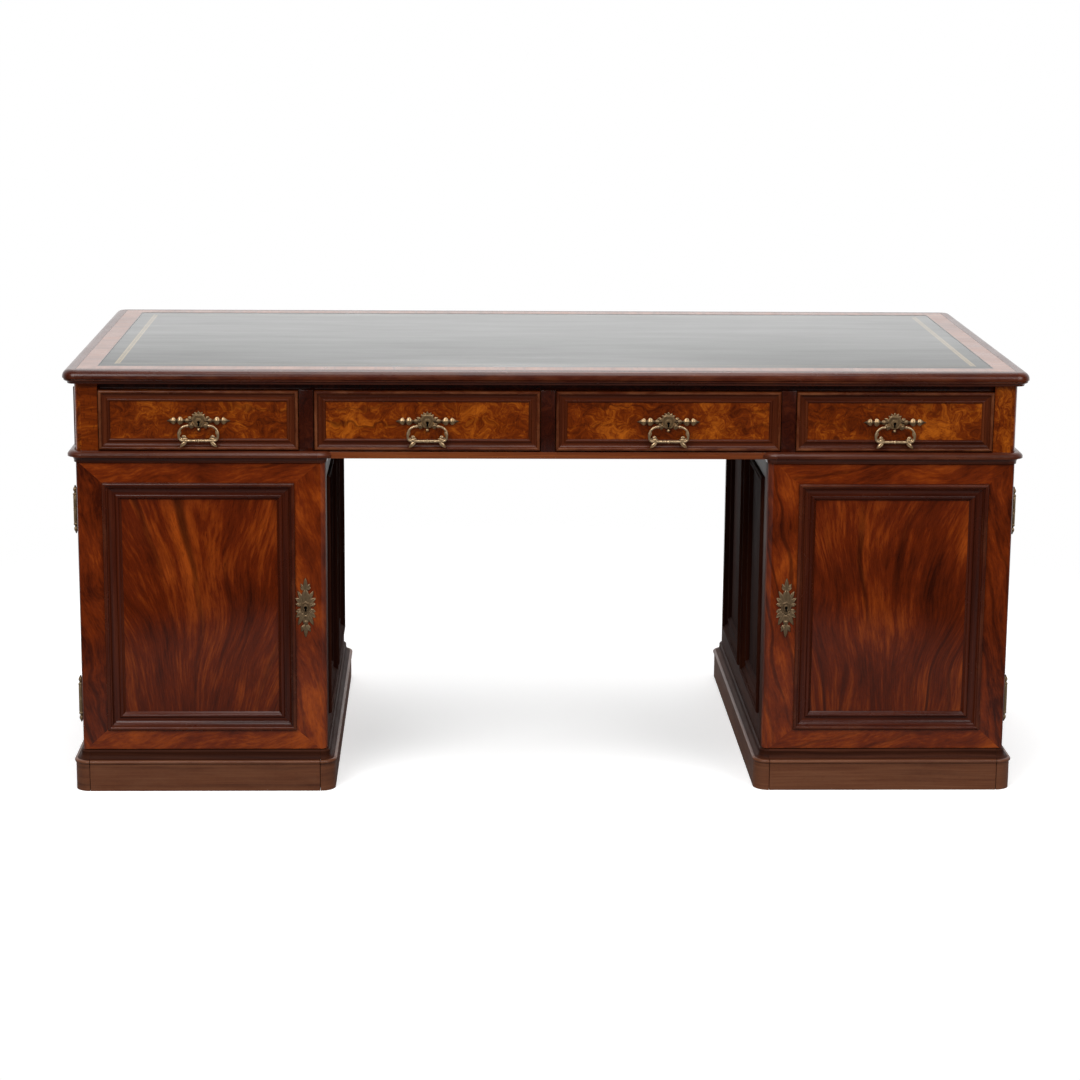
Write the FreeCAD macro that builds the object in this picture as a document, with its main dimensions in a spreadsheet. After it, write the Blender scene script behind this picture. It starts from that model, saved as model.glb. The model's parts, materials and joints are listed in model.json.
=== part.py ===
"""A walnut pedestal desk: a leather-topped section with four drawers on two cupboard pedestals.

Millimetres, +Z up. The origin is on the floor, under the middle of the desk, and the drawers and
doors face -Y. Every size comes from the sheet named Sizes.
"""
import FreeCAD
import Part
import Sketcher
import math
import os
import re
from types import SimpleNamespace
from FreeCAD import Placement, Rotation, Vector

DRIVING = {
    # Whole desk
    "top_width": 1740,
    "top_depth": 850,
    "desk_height": 782,
    "pedestal_height": 620.5,
    "kneehole_width": 805,
    "corner_radius": 12,
    # Top: board, moulded edge and leather
    "top_thickness": 25,
    "top_overhang": 20,
    "edge_width": 25,
    "edge_thumb": 13,
    "edge_bead": 5,
    "edge_quirk": 4,
    "edge_cove": 5,
    "border_width": 60,
    "leather_thickness": 1.5,
    "leather_sink": 0.4,
    # Frieze frame
    "post_width": 42,
    "frieze_board": 20,
    "muntin_width": 26,
    "outer_muntin_offset": 435,
    "lower_rail_height": 12.5,
    "upper_rail_height": 11.5,
    "rail_depth": 60,
    "upper_rail_setback": 9,
    "runner_width": 20,
    "guide_height": 34,
    # Waist moulding, round the head of each pedestal
    "waist_drop": 7.5,
    "waist_lip_gap": 1.5,
    "waist_projection": 15,
    "waist_nose": 4,
    "waist_cove": 9,
    "waist_fillet": 2,
    # Plinth
    "plinth_height": 75,
    "plinth_projection": 15,
    "plinth_wall": 25,
    "plinth_flat": 51,
    "plinth_bead": 7,
    "plinth_cove_width": 8,
    "plinth_cove_height": 10,
    "plinth_fillet": 2.5,
    # Framed panels: doors, sides and backs
    "frame_thickness": 24,
    "groove_width": 8,
    "groove_depth": 9,
    "panel_sink": 10,
    "joint_clearance": 0.1,
    "panel_play": 1,
    "tenon_shoulder": 8,
    "side_stile": 62,
    "side_muntin": 62,
    "side_rail": 56,
    "back_stile": 60,
    "hinge_stile": 55,
    "lock_stile": 64,
    "door_rail": 45,
    "hinge_edge_radius": 6,
    "door_gap": 0.6,
    "door_clearance": 1.2,
    # Bolection moulding round the panels
    "bolection_width": 33,
    "bolection_lap": 9,
    "bolection_bead": 7,
    "bolection_rise": 3,
    "bolection_inner_bead": 7,
    "bolection_inner_drop": 5.5,
    "bolection_toe": 4,
    "bolection_foot": 0.5,
    # Case boards
    "case_board": 18,
    "plinth_bearer": 40,
    "shelf_thickness": 18,
    "shelf_level": 336,
    "shelf_setback": 24,
    "shelf_clearance": 0.5,
    "bearer_section": 20,
    # Drawers
    "drawer_front_thickness": 20,
    "drawer_front_sink": 3,
    "drawer_gap": 1.2,
    "drawer_lift": 2.7,
    "drawer_side": 12,
    "drawer_side_height": 96,
    "drawer_back": 12,
    "drawer_length": 580,
    "drawer_bottom": 6,
    "drawer_bottom_level": 9,
    "drawer_groove": 5,
    "runner_clearance": 0.3,
    "dovetail_lap": 13,
    # Moulding on the drawer fronts
    "cock_width": 21,
    "cock_bead": 6,
    "cock_rise": 4.5,
    "cock_inner_bead": 5,
    "cock_inner_rise": 1.2,
    "cock_toe": 1,
    # Bail handle
    "handle_drop": 9,
    "plate_thickness": 2,
    "plate_axis": 8,
    "shield_radius": 15,
    "shield_lift": 7,
    "finial_radius": 3.5,
    "boss_radius": 10.5,
    "boss_height": 3.6,
    "arm_neck": 2.2,
    "arm_bead": 5,
    "arm_bead_offset": 20.5,
    "knop_width": 10,
    "knop_offset": 33,
    "tip_knop_offset": 45,
    "plate_reach": 57,
    "ear_radius": 5,
    "post_radius": 3.5,
    "post_offset": 13,
    "pivot_standoff": 11.5,
    "pivot_radius": 1.5,
    "pivot_clearance": 0.08,
    "bail_wire": 2.4,
    "bail_shoulder": 20,
    "bail_bend": 15,
    "bail_straight": 5,
    "bail_corner": 7,
    "bar_bead": 4.4,
    "bar_collar": 2.6,
    "bar_collar_offset": 9,
    "foot_splay": 21,
    "foot_length": 12,
    "foot_radius": 2.8,
    # Locks and keyholes
    "key_pin": 3,
    "key_slot_width": 3.5,
    "key_slot_length": 10,
    "lock_depth": 12,
    "lock_width": 46,
    "lock_below_key": 14,
    "bolt_width": 16,
    "bolt_thickness": 6,
    "bolt_length": 40,
    "bolt_play": 0.2,
    "bolt_inset": 0.6,
    "mortise_depth": 9.5,
    "mortise_play": 1,
    "bolt_offset": 17,
    "key_level": 5,
    "door_lock_height": 60,
    "door_lock_gap": 2,
    "door_key_inset": 37,
    # Door escutcheon
    "escutcheon_height": 112,
    "escutcheon_width": 34,
    "escutcheon_thickness": 1.6,
    "escutcheon_lobe": 5,
    "escutcheon_eye": 3,
    # Hinges with finials
    "knuckle_radius": 4.5,
    "knuckle_clearance": 0.4,
    "knuckle_length": 30,
    "hinge_pin": 2,
    "hinge_pin_length": 25,
    "hinge_pin_clearance": 0.06,
    "hinge_split": 0.3,
    "finial_length": 15,
    "hinge_leaf": 1.6,
    "hinge_leaf_width": 22,
    "hinge_leaf_margin": 2,
    "hinge_inset": 90,
}
# Shapes that are proportions and counts, not lengths
TAILS = 3
TAIL_ROOT = 0.30
TAIL_TIP = 0.38
HALF_ROUND = 0.52
MITRE_MARGIN = 5
SPINE_SHARE = 0.62
LOBE_STEP = 0.8
SIDES = {"left": -1, "right": 1}
X_AXIS = Vector(1, 0, 0)
Y_AXIS = Vector(0, 1, 0)
Z_AXIS = Vector(0, 0, 1)

doc = FreeCAD.newDocument("PedestalDesk")
sheet = doc.addObject("Spreadsheet::Sheet", "Sizes")
nodes = []


class Size:
    """A length that carries both its number and the sheet formula that gives it."""

    def __init__(self, number, formula):
        self.number = number
        self.formula = formula

    def __add__(self, other):
        other = as_size(other)
        return Size(self.number + other.number, f"({self.formula} + {other.formula})")

    def __sub__(self, other):
        other = as_size(other)
        return Size(self.number - other.number, f"({self.formula} - {other.formula})")

    def __mul__(self, other):
        other = as_size(other)
        return Size(self.number * other.number, f"({self.formula} * {other.formula})")

    def __truediv__(self, other):
        other = as_size(other)
        return Size(self.number / other.number, f"({self.formula} / {other.formula})")

    def __neg__(self):
        return Size(-self.number, f"(0 - {self.formula})")

    __radd__ = __add__
    __rmul__ = __mul__


def as_size(value):
    """Take a plain number as a size that no cell drives."""
    return value if isinstance(value, Size) else Size(float(value), f"({float(value)})")


def span(across, along):
    """The straight distance between two points that lie this far apart in each direction."""
    number = math.hypot(across.number, along.number)
    return Size(number, f"sqrt({across.formula} ^ 2 + {along.formula} ^ 2)")


def fill_sheet():
    """Write the driving sizes into the sheet and hand them back by name."""
    cells = SimpleNamespace()
    for row, (alias, number) in enumerate(DRIVING.items(), start=1):
        sheet.set(f"A{row}", alias)
        sheet.set(f"B{row}", str(number))
        sheet.setAlias(f"B{row}", alias)
        setattr(cells, alias, Size(float(number), alias))
    doc.recompute()
    return cells


S = fill_sheet()


def bind(item, **sizes):
    """Tie properties of a document object to sheet formulas."""
    for name, value in sizes.items():
        tie(item, name.replace("__", "."), value)


def tie(item, path, value):
    """Tie one property, or a sketch's constraint, to the formula of a size."""
    formula = re.sub(r"[A-Za-z_]\w*", lambda word: in_sheet(word.group()), as_size(value).formula)
    item.setExpression(path, formula)


def in_sheet(word):
    """Name a word of a formula as the sheet's cell, unless it is a function."""
    return f"Sizes.{word}" if word in DRIVING else word


def put(item, x=0, y=0, z=0, spin=None):
    """Place an object, with its position tied to the sheet."""
    item.Placement = Placement(Vector(), spin or Rotation())
    bind(item, Placement__Base__x=x, Placement__Base__y=y, Placement__Base__z=z)
    return item


class Face:
    """A place on the desk that looks outwards: -Y, turned by a number of quarter turns about Z.

    Pieces are set on it in its own directions: x to the right along the face, y into the desk, z up.
    """

    def __init__(self, x, y, z, quarter):
        self.x, self.y, self.z = as_size(x), as_size(y), as_size(z)
        self.quarter = quarter

    def put(self, item, x=0, y=0, z=0, spin=None):
        """Set a piece on the face, turned by spin within the face's own directions."""
        x, y = as_size(x), as_size(y)
        across, into = ((x, y), (-y, x), (-x, -y), (y, -x))[self.quarter % 4]
        turn = Rotation(Z_AXIS, 90 * self.quarter).multiply(spin or Rotation())
        return put(item, self.x + across, self.y + into, self.z + z, turn)


def box(name, length, width, height):
    """A plain board or block, from its lowest corner."""
    item = doc.addObject("Part::Box", name)
    bind(item, Length=length, Width=width, Height=height)
    return item


def cylinder(name, radius, height):
    """A round bar that stands on its end."""
    item = doc.addObject("Part::Cylinder", name)
    bind(item, Radius=radius, Height=height)
    return item


def cut(name, base, *tools):
    """What is left of a piece after the tools have been taken out of it."""
    item = doc.addObject("Part::Cut", name)
    item.Base = base
    item.Tool = tools[0] if len(tools) == 1 else bundle(name + "_tools", tools)
    return item


def fuse(name, *members):
    """Several forms as one casting."""
    item = doc.addObject("Part::MultiFuse", name)
    item.Shapes = list(members)
    return item


def common(name, first, second):
    """The space that two forms share."""
    item = doc.addObject("Part::Common", name)
    item.Base = first
    item.Tool = second
    return item


def bundle(name, members):
    """Separate solids that are kept together."""
    item = doc.addObject("Part::Compound", name)
    item.Links = list(members)
    return item


def node(label, *members):
    """Register a finished sub-part: one piece, or a group of separate solids."""
    item = members[0] if len(members) == 1 else bundle(label, members)
    item.Label = label
    nodes.append(item)
    return item


def new_body(name):
    """An empty body for sketches and features."""
    return doc.addObject("PartDesign::Body", name)


def origin_feature(body, role):
    """One of a body's own planes or axes."""
    return next(feature for feature in body.Origin.OriginFeatures if feature.Role == role)


def new_sketch(body, role, *outlines):
    """A sketch on one of the body's own planes, with one or more closed outlines."""
    sketch = body.newObject("Sketcher::SketchObject", body.Name + "_sketch")
    sketch.AttachmentSupport = [(origin_feature(body, role), "")]
    sketch.MapMode = "FlatFace"
    for outline in outlines:
        draw(sketch, outline, closed=True)
    return sketch


def draw(sketch, points, closed):
    """Draw lines and arcs through the points, each tied to the sheet.

    A point is (x, y) or (x, y, radius). With a radius, the stretch that ends there is the shorter
    arc of that radius: it bulges to the left of its travel, or to the right if the radius is
    negative.
    """
    points = [tuple(as_size(value) for value in point) for point in points]
    if closed:
        points = points + [points[0]]
    ends = []
    for start, end in zip(points, points[1:]):
        ends.append(draw_stretch(sketch, start, end))
    for before, after in zip(ends, ends[1:] + ends[:1] if closed else ends[1:]):
        sketch.addConstraint(Sketcher.Constraint("Coincident", *before[1], *after[0]))
    corners = list(zip(points, [end[0] for end in ends]))
    if not closed:
        corners.append((points[-1], ends[-1][1]))
    for point, corner in corners:
        for kind, value in zip(("DistanceX", "DistanceY"), point[:2]):
            fixed = Sketcher.Constraint(kind, -1, 1, *corner, value.number)
            tie(sketch, f"Constraints[{sketch.addConstraint(fixed)}]", value)


def draw_stretch(sketch, start, end):
    """Draw one line or arc, and give its start and its end as the sketch numbers them."""
    first = Vector(start[0].number, start[1].number, 0)
    last = Vector(end[0].number, end[1].number, 0)
    if len(end) == 2:
        index = sketch.addGeometry(Part.LineSegment(first, last), False)
        return (index, 1), (index, 2)
    radius = end[2]
    chord = last - first
    half = chord.Length / 2
    reach = math.sqrt(max(radius.number ** 2 - half ** 2, 0))
    right = Vector(chord.y, -chord.x, 0).normalize()
    bulges_left = radius.number > 0
    middle = (first + last) / 2 + right * (reach if bulges_left else -reach)
    circle = Part.Circle(middle, Z_AXIS, abs(radius.number))
    begin, finish = (last, first) if bulges_left else (first, last)
    arc = Part.ArcOfCircle(circle, circle.parameter(begin), circle.parameter(finish))
    index = sketch.addGeometry(arc, False)
    size = radius if bulges_left else -radius
    fixed = Sketcher.Constraint("Radius", index, size.number)
    tie(sketch, f"Constraints[{sketch.addConstraint(fixed)}]", size)
    return ((index, 2), (index, 1)) if bulges_left else ((index, 1), (index, 2))


def pad(body, sketch, length, both_ways=False):
    """Push an outline out into a solid."""
    feature = body.newObject("PartDesign::Pad", body.Name + "_pad")
    feature.Profile = sketch
    feature.SideType = "Symmetric" if both_ways else "One side"
    bind(feature, Length=length)
    return feature


def pocket_through(body, sketch):
    """Cut an outline right through a solid, both ways from its plane."""
    feature = body.newObject("PartDesign::Pocket", body.Name + "_pocket")
    feature.Profile = sketch
    feature.SideType = "Symmetric"
    feature.Type = "ThroughAll"
    return feature


def turn(body, sketch, axis_role, angle):
    """Turn an outline about one of the body's axes."""
    feature = body.newObject("PartDesign::Revolution", body.Name + "_turned")
    feature.Profile = sketch
    feature.ReferenceAxis = (origin_feature(body, axis_role), [""])
    feature.Angle = angle
    return feature


# Levels and faces that several pieces share

front = -(S.top_depth / 2 - S.top_overhang)
back = -front
half_width = S.top_width / 2 - S.top_overhang
half_kneehole = S.kneehole_width / 2
top_underside = S.desk_height - S.top_thickness
frieze_height = top_underside - S.pedestal_height
opening_bottom = S.pedestal_height + S.lower_rail_height
opening_top = top_underside - S.upper_rail_height
opening_height = opening_top - opening_bottom
drawer_bottom_edge = opening_bottom + S.drawer_lift
drawer_front_height = opening_height - S.drawer_lift - S.drawer_gap
drawer_field = front + S.drawer_front_sink
post_inner = half_width - S.post_width
case_front = front + S.frame_thickness + S.door_gap
case_back = back - S.frame_thickness
case_height = S.pedestal_height - S.plinth_height
case_width = half_width - half_kneehole
case_depth = case_back - case_front
case_middle = (half_width + half_kneehole) / 2
waist_bottom = S.pedestal_height - S.waist_drop
door_bottom = S.plinth_height + S.door_clearance
door_height = waist_bottom - S.door_clearance - door_bottom
door_back = front + S.frame_thickness
hinge_line = front + S.frame_thickness + S.door_gap / 2
hinge_offset = half_width + S.knuckle_radius + S.knuckle_clearance


def edge_profile():
    """Section of the top's edge: a thumb over a small bead and a cove. x outwards, y up."""
    land = S.desk_height - S.edge_thumb
    quirk = top_underside + S.edge_bead + S.edge_cove
    inset = S.edge_width - S.edge_quirk
    return [
        (0, S.desk_height),
        (S.edge_width - S.edge_thumb, S.desk_height),
        (S.edge_width, land, S.edge_thumb),
        (S.edge_width, quirk),
        (inset, quirk),
        (inset, top_underside + S.edge_cove, S.edge_bead * HALF_ROUND),
        (inset - S.edge_cove, top_underside, -S.edge_cove),
        (0, top_underside),
    ]


def waist_profile():
    """Section of the waist moulding: a rounded shoulder, a flat nose and a cove below it."""
    head = opening_bottom + S.drawer_lift - S.waist_lip_gap
    cove_top = waist_bottom + S.waist_fillet + S.waist_cove
    cove_inset = S.waist_projection - S.waist_fillet
    shoulder_width = S.waist_projection - S.waist_fillet
    shoulder_fall = head - cove_top - S.waist_nose
    shoulder = span(shoulder_width, shoulder_fall)
    return [
        (0, head),
        (S.waist_fillet, head),
        (S.waist_projection, cove_top + S.waist_nose, shoulder * 0.8),
        (S.waist_projection, cove_top),
        (cove_inset, cove_top),
        (cove_inset - S.waist_cove, waist_bottom + S.waist_fillet, -S.waist_cove),
        (cove_inset - S.waist_cove, waist_bottom),
        (0, waist_bottom),
    ]


def plinth_profile():
    """Section of the plinth: a tall flat, a half-round bead and a hollow up to the door."""
    bead_top = S.plinth_flat + S.plinth_bead
    hollow_foot = S.plinth_projection - S.plinth_fillet
    hollow_head = hollow_foot - S.plinth_cove_width
    hollow = span(S.plinth_cove_width, S.plinth_cove_height)
    inner = S.plinth_projection - S.plinth_wall
    return [
        (inner, 0),
        (S.plinth_projection, 0),
        (S.plinth_projection, S.plinth_flat),
        (S.plinth_projection, bead_top, -S.plinth_bead * HALF_ROUND),
        (hollow_foot, bead_top),
        (hollow_head, bead_top + S.plinth_cove_height, hollow * 0.75),
        (hollow_head, S.plinth_height - S.plinth_fillet),
        (hollow_head - S.plinth_fillet, S.plinth_height),
        (inner, S.plinth_height),
    ]


def bolection_profile():
    """Section of the panel moulding. x is minus the height over the frame, y the way inwards."""
    outer = S.bolection_bead
    inner_start = S.bolection_width - S.bolection_toe - S.bolection_inner_bead
    inner_end = S.bolection_width - S.bolection_toe
    shelf = outer + S.bolection_inner_bead / 3
    fall = S.bolection_rise + S.bolection_inner_drop
    hollow = span(inner_start - shelf, fall)
    return [
        (0, 0),
        (-S.bolection_rise, 0),
        (-S.bolection_rise, outer, S.bolection_bead * HALF_ROUND),
        (-S.bolection_rise / 2, outer),
        (-S.bolection_rise / 2, shelf),
        (S.bolection_inner_drop, inner_start, -hollow * 0.8),
        (S.bolection_inner_drop, inner_end, S.bolection_inner_bead * HALF_ROUND),
        (S.panel_sink - S.bolection_foot, S.bolection_width),
        (S.panel_sink, S.bolection_width),
        (S.panel_sink, S.bolection_lap),
        (0, S.bolection_lap),
    ]


def cock_profile():
    """Section of the drawer moulding. x is minus the height over the front, y the way inwards."""
    inner_start = S.cock_width - S.cock_toe - S.cock_inner_bead
    inner_end = S.cock_width - S.cock_toe
    fall = S.cock_rise - S.cock_inner_rise - S.cock_toe
    hollow = span(inner_start - S.cock_bead - S.cock_toe, fall)
    return [
        (0, 0),
        (-S.cock_rise, 0),
        (-S.cock_rise, S.cock_bead, S.cock_bead * HALF_ROUND),
        (-S.cock_rise + S.cock_toe, S.cock_bead),
        (-S.cock_rise + S.cock_toe, S.cock_bead + S.cock_toe),
        (-S.cock_inner_rise, inner_start, -hollow * 0.9),
        (-S.cock_inner_rise, inner_end, S.cock_inner_bead * HALF_ROUND),
        (0, S.cock_width),
    ]


def moulding_strip(name, length, width, profile):
    """One length of panel moulding along X, its outer edge at z = 0, mitred at both ends."""
    body = new_body(name)
    pad(body, new_sketch(body, "YZ_Plane", profile), length, both_ways=True)
    end = length / 2 + MITRE_MARGIN
    head = width + MITRE_MARGIN
    right = [(end, -MITRE_MARGIN), (end, head), (end - head - MITRE_MARGIN, head)]
    left = [(-x, y) for x, y in right]
    pocket_through(body, new_sketch(body, "XZ_Plane", right, left))
    return body


def moulding_frame(name, face, centre, bottom, width, height, strip_width, profile):
    """Four mitred lengths round a panel: bottom, top, left and right."""
    middle = bottom + height / 2
    places = {
        "bottom": (width, centre, bottom, 0),
        "top": (width, centre, bottom + height, 180),
        "left": (height, centre - width / 2, middle, 90),
        "right": (height, centre + width / 2, middle, -90),
    }
    strips = []
    for place, (length, x, z, angle) in places.items():
        strip = moulding_strip(f"{name}_{place}", length, strip_width, profile)
        strips.append(face.put(strip, x, 0, z, Rotation(Y_AXIS, angle)))
    return strips


def moulded_ring(name, profile, low, high, radius):
    """Straight lengths and turned corners of a moulding that runs round a rectangle.

    low and high are the corners of the rectangle, and radius is that of its own corners. The
    lengths and the corners each come in the order right, back, left, front.
    """
    middle = [(a + b) / 2 for a, b in zip(low, high)]
    runs = []
    corners = []
    run_places = ((high[0], middle[1]), (middle[0], high[1]), (low[0], middle[1]), (middle[0], low[1]))
    corner_places = (
        (high[0] - radius, high[1] - radius),
        (low[0] + radius, high[1] - radius),
        (low[0] + radius, low[1] + radius),
        (high[0] - radius, low[1] + radius),
    )
    turned = [(point[0] + radius, *point[1:]) for point in profile]
    for quarter in range(4):
        along = 1 - quarter % 2
        run = new_body(f"{name}_run_{quarter + 1}")
        length = high[along] - low[along] - 2 * radius
        pad(run, new_sketch(run, "XZ_Plane", profile), length, both_ways=True)
        runs.append(put(run, *run_places[quarter], spin=Rotation(Z_AXIS, 90 * quarter)))
        corner = new_body(f"{name}_corner_{quarter + 1}")
        turn(corner, new_sketch(corner, "XZ_Plane", turned), "Z_Axis", 90)
        corners.append(put(corner, *corner_places[quarter], spin=Rotation(Z_AXIS, 90 * quarter)))
    return runs, corners


def stile_section(width, radius):
    """Section of an upright frame member, grooved for the panel on its inner edge."""
    groove_front = S.panel_sink
    groove_back = S.panel_sink + S.groove_width
    start = [(0, 0)] if radius is None else [(radius, 0, -radius)]
    end = [] if radius is None else [(0, radius)]
    return start + [
        (width, 0),
        (width, groove_front),
        (width - S.groove_depth, groove_front),
        (width - S.groove_depth, groove_back),
        (width, groove_back),
        (width, S.frame_thickness),
        (0, S.frame_thickness),
    ] + end


def tenon_outline(low, high):
    """End view of a stub tenon that fills the groove between two levels."""
    front_cheek = S.panel_sink + S.joint_clearance
    back_cheek = S.panel_sink + S.groove_width - S.joint_clearance
    return [(front_cheek, low), (back_cheek, low), (back_cheek, high), (front_cheek, high)]


def new_stile(name, width, height, radius):
    """An upright at the left of a frame, its outer front edge square or rounded."""
    body = new_body(name)
    pad(body, new_sketch(body, "XY_Plane", stile_section(width, radius)), height)
    return body


def new_rail(name, width, length):
    """A level frame member with its groove on the upper edge and a stub tenon at each end."""
    body = new_body(name)
    groove_front = S.panel_sink
    groove_back = S.panel_sink + S.groove_width
    floor = width - S.groove_depth
    section = [
        (0, 0),
        (S.frame_thickness, 0),
        (S.frame_thickness, width),
        (groove_back, width),
        (groove_back, floor),
        (groove_front, floor),
        (groove_front, width),
        (0, width),
    ]
    pad(body, new_sketch(body, "YZ_Plane", section), length, both_ways=True)
    tenon = tenon_outline(S.tenon_shoulder, floor)
    reach = S.groove_depth - S.joint_clearance
    pad(body, new_sketch(body, "YZ_Plane", tenon), length + 2 * reach, both_ways=True)
    return body


def new_muntin(name, width, height):
    """The upright between two panels: grooved on both edges, tenoned at both ends."""
    body = new_body(name)
    groove_front = S.panel_sink
    groove_back = S.panel_sink + S.groove_width
    half = width / 2
    web = half - S.groove_depth
    right = [(half, 0), (half, groove_front), (web, groove_front), (web, groove_back), (half, groove_back),
             (half, S.frame_thickness)]
    section = right + [(-x, y) for x, y in reversed(right)]
    pad(body, new_sketch(body, "XY_Plane", section), height, both_ways=True)
    cheeks = [(-web, S.panel_sink + S.joint_clearance), (web, S.panel_sink + S.joint_clearance),
              (web, groove_back - S.joint_clearance), (-web, groove_back - S.joint_clearance)]
    reach = S.groove_depth - S.joint_clearance
    pad(body, new_sketch(body, "XY_Plane", cheeks), height + 2 * reach, both_ways=True)
    return body


def framed_panel(name, face, width, height, stiles, rail, muntin=0, count=1, radii=(None, None)):
    """A frame of stiles, rails and muntins with floating panels and mitred mouldings.

    stiles and radii give the left and the right stile. Returns the frame's members, left and right
    stile first, then the panels and the mouldings.
    """
    opening = (width - stiles[0] - stiles[1] - muntin * (count - 1)) / count
    clear_height = height - 2 * rail
    half_turn = Rotation(Y_AXIS, 180)
    left = face.put(new_stile(f"{name}_stile_left", stiles[0], height, radii[0]), -width / 2)
    right = new_stile(f"{name}_stile_right", stiles[1], height, radii[1])
    face.put(right, width / 2, 0, height, half_turn)
    rail_length = width - stiles[0] - stiles[1]
    rail_centre = (stiles[0] - stiles[1]) / 2
    lower = face.put(new_rail(f"{name}_rail_lower", rail, rail_length), rail_centre)
    upper = face.put(new_rail(f"{name}_rail_upper", rail, rail_length), rail_centre, 0, height, half_turn)
    frame = [left, right, lower, upper]
    panels = []
    mouldings = []
    for index in range(count):
        centre = stiles[0] - width / 2 + opening / 2 + (opening + muntin) * index
        if index:
            upright = new_muntin(f"{name}_muntin", muntin, clear_height)
            frame.append(face.put(upright, centre - (opening + muntin) / 2, 0, height / 2))
        margin = S.groove_depth - S.panel_play
        panel_face = S.panel_sink + S.joint_clearance
        panel = box(f"{name}_panel", opening + 2 * margin, S.groove_width - 2 * S.joint_clearance,
                    clear_height + 2 * margin)
        panels.append(face.put(panel, centre - opening / 2 - margin, panel_face, rail - margin))
        mouldings += moulding_frame(f"{name}_moulding", face, centre, rail - S.bolection_lap,
                                    opening + 2 * S.bolection_lap, clear_height + 2 * S.bolection_lap,
                                    S.bolection_width, bolection_profile())
    return frame, panels, mouldings


def disc(name, face, x, z, radius, thickness):
    """A round plate that stands out from a face."""
    return face.put(cylinder(name, radius, thickness), x, 0, z, Rotation(X_AXIS, 90))


def lens(name, face, x, z, length, height, thickness, upright=False):
    """A pointed leaf: the overlap of two equal discs, lying or upright."""
    half_length = length / 2
    half_height = height / 2
    radius = (half_length * half_length + half_height * half_height) / height
    offset = radius - half_height
    shift = (offset, 0) if upright else (0, offset)
    first = disc(f"{name}_a", face, x + shift[0], z + shift[1], radius, thickness)
    second = disc(f"{name}_b", face, x - shift[0], z - shift[1], radius, thickness)
    return common(name, first, second)


def keyway(name, face, x, z, near, far):
    """The space of a keyhole, from near to far behind the face: a round eye over a slot."""
    depth = far - near
    eye = face.put(cylinder(f"{name}_eye", S.key_pin, depth), x, far, z, Rotation(X_AXIS, 90))
    slot = box(f"{name}_slot", S.key_slot_width, depth, S.key_slot_length)
    face.put(slot, x - S.key_slot_width / 2, near, z - S.key_slot_length)
    return fuse(name, eye, slot)


def build_top():
    """The top: ground board, moulded edge and leather let into the board."""
    board_x = S.top_width / 2 - S.edge_width
    board_y = S.top_depth / 2 - S.edge_width
    leather_x = S.top_width / 2 - S.border_width
    leather_y = S.top_depth / 2 - S.border_width
    recess_floor = S.desk_height - S.leather_sink - S.leather_thickness
    blank = box("top_blank", 2 * board_x, 2 * board_y, S.top_thickness)
    put(blank, -board_x, -board_y, top_underside)
    recess = box("leather_recess", 2 * leather_x, 2 * leather_y, S.top_thickness)
    put(recess, -leather_x, -leather_y, recess_floor)
    node("top_board", cut("top_board_cut", blank, recess))
    leather = box("leather_sheet", 2 * leather_x, 2 * leather_y, S.leather_thickness)
    node("writing_leather", put(leather, -leather_x, -leather_y, recess_floor))
    low, high = (-board_x, -board_y), (board_x, board_y)
    runs, corners = moulded_ring("top_edge", edge_profile(), low, high, as_size(0))
    node("top_edge_moulding", *runs, *corners)


def drawer_places():
    """Middle and width of each drawer opening, from left to right."""
    half_muntin = S.muntin_width / 2
    outer_low = S.outer_muntin_offset + half_muntin
    inner_high = S.outer_muntin_offset - half_muntin
    outer = ((outer_low + post_inner) / 2, post_inner - outer_low)
    inner = ((inner_high + half_muntin) / 2, inner_high - half_muntin)
    return [(-outer[0], outer[1]), (-inner[0], inner[1]), inner, outer]


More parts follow.
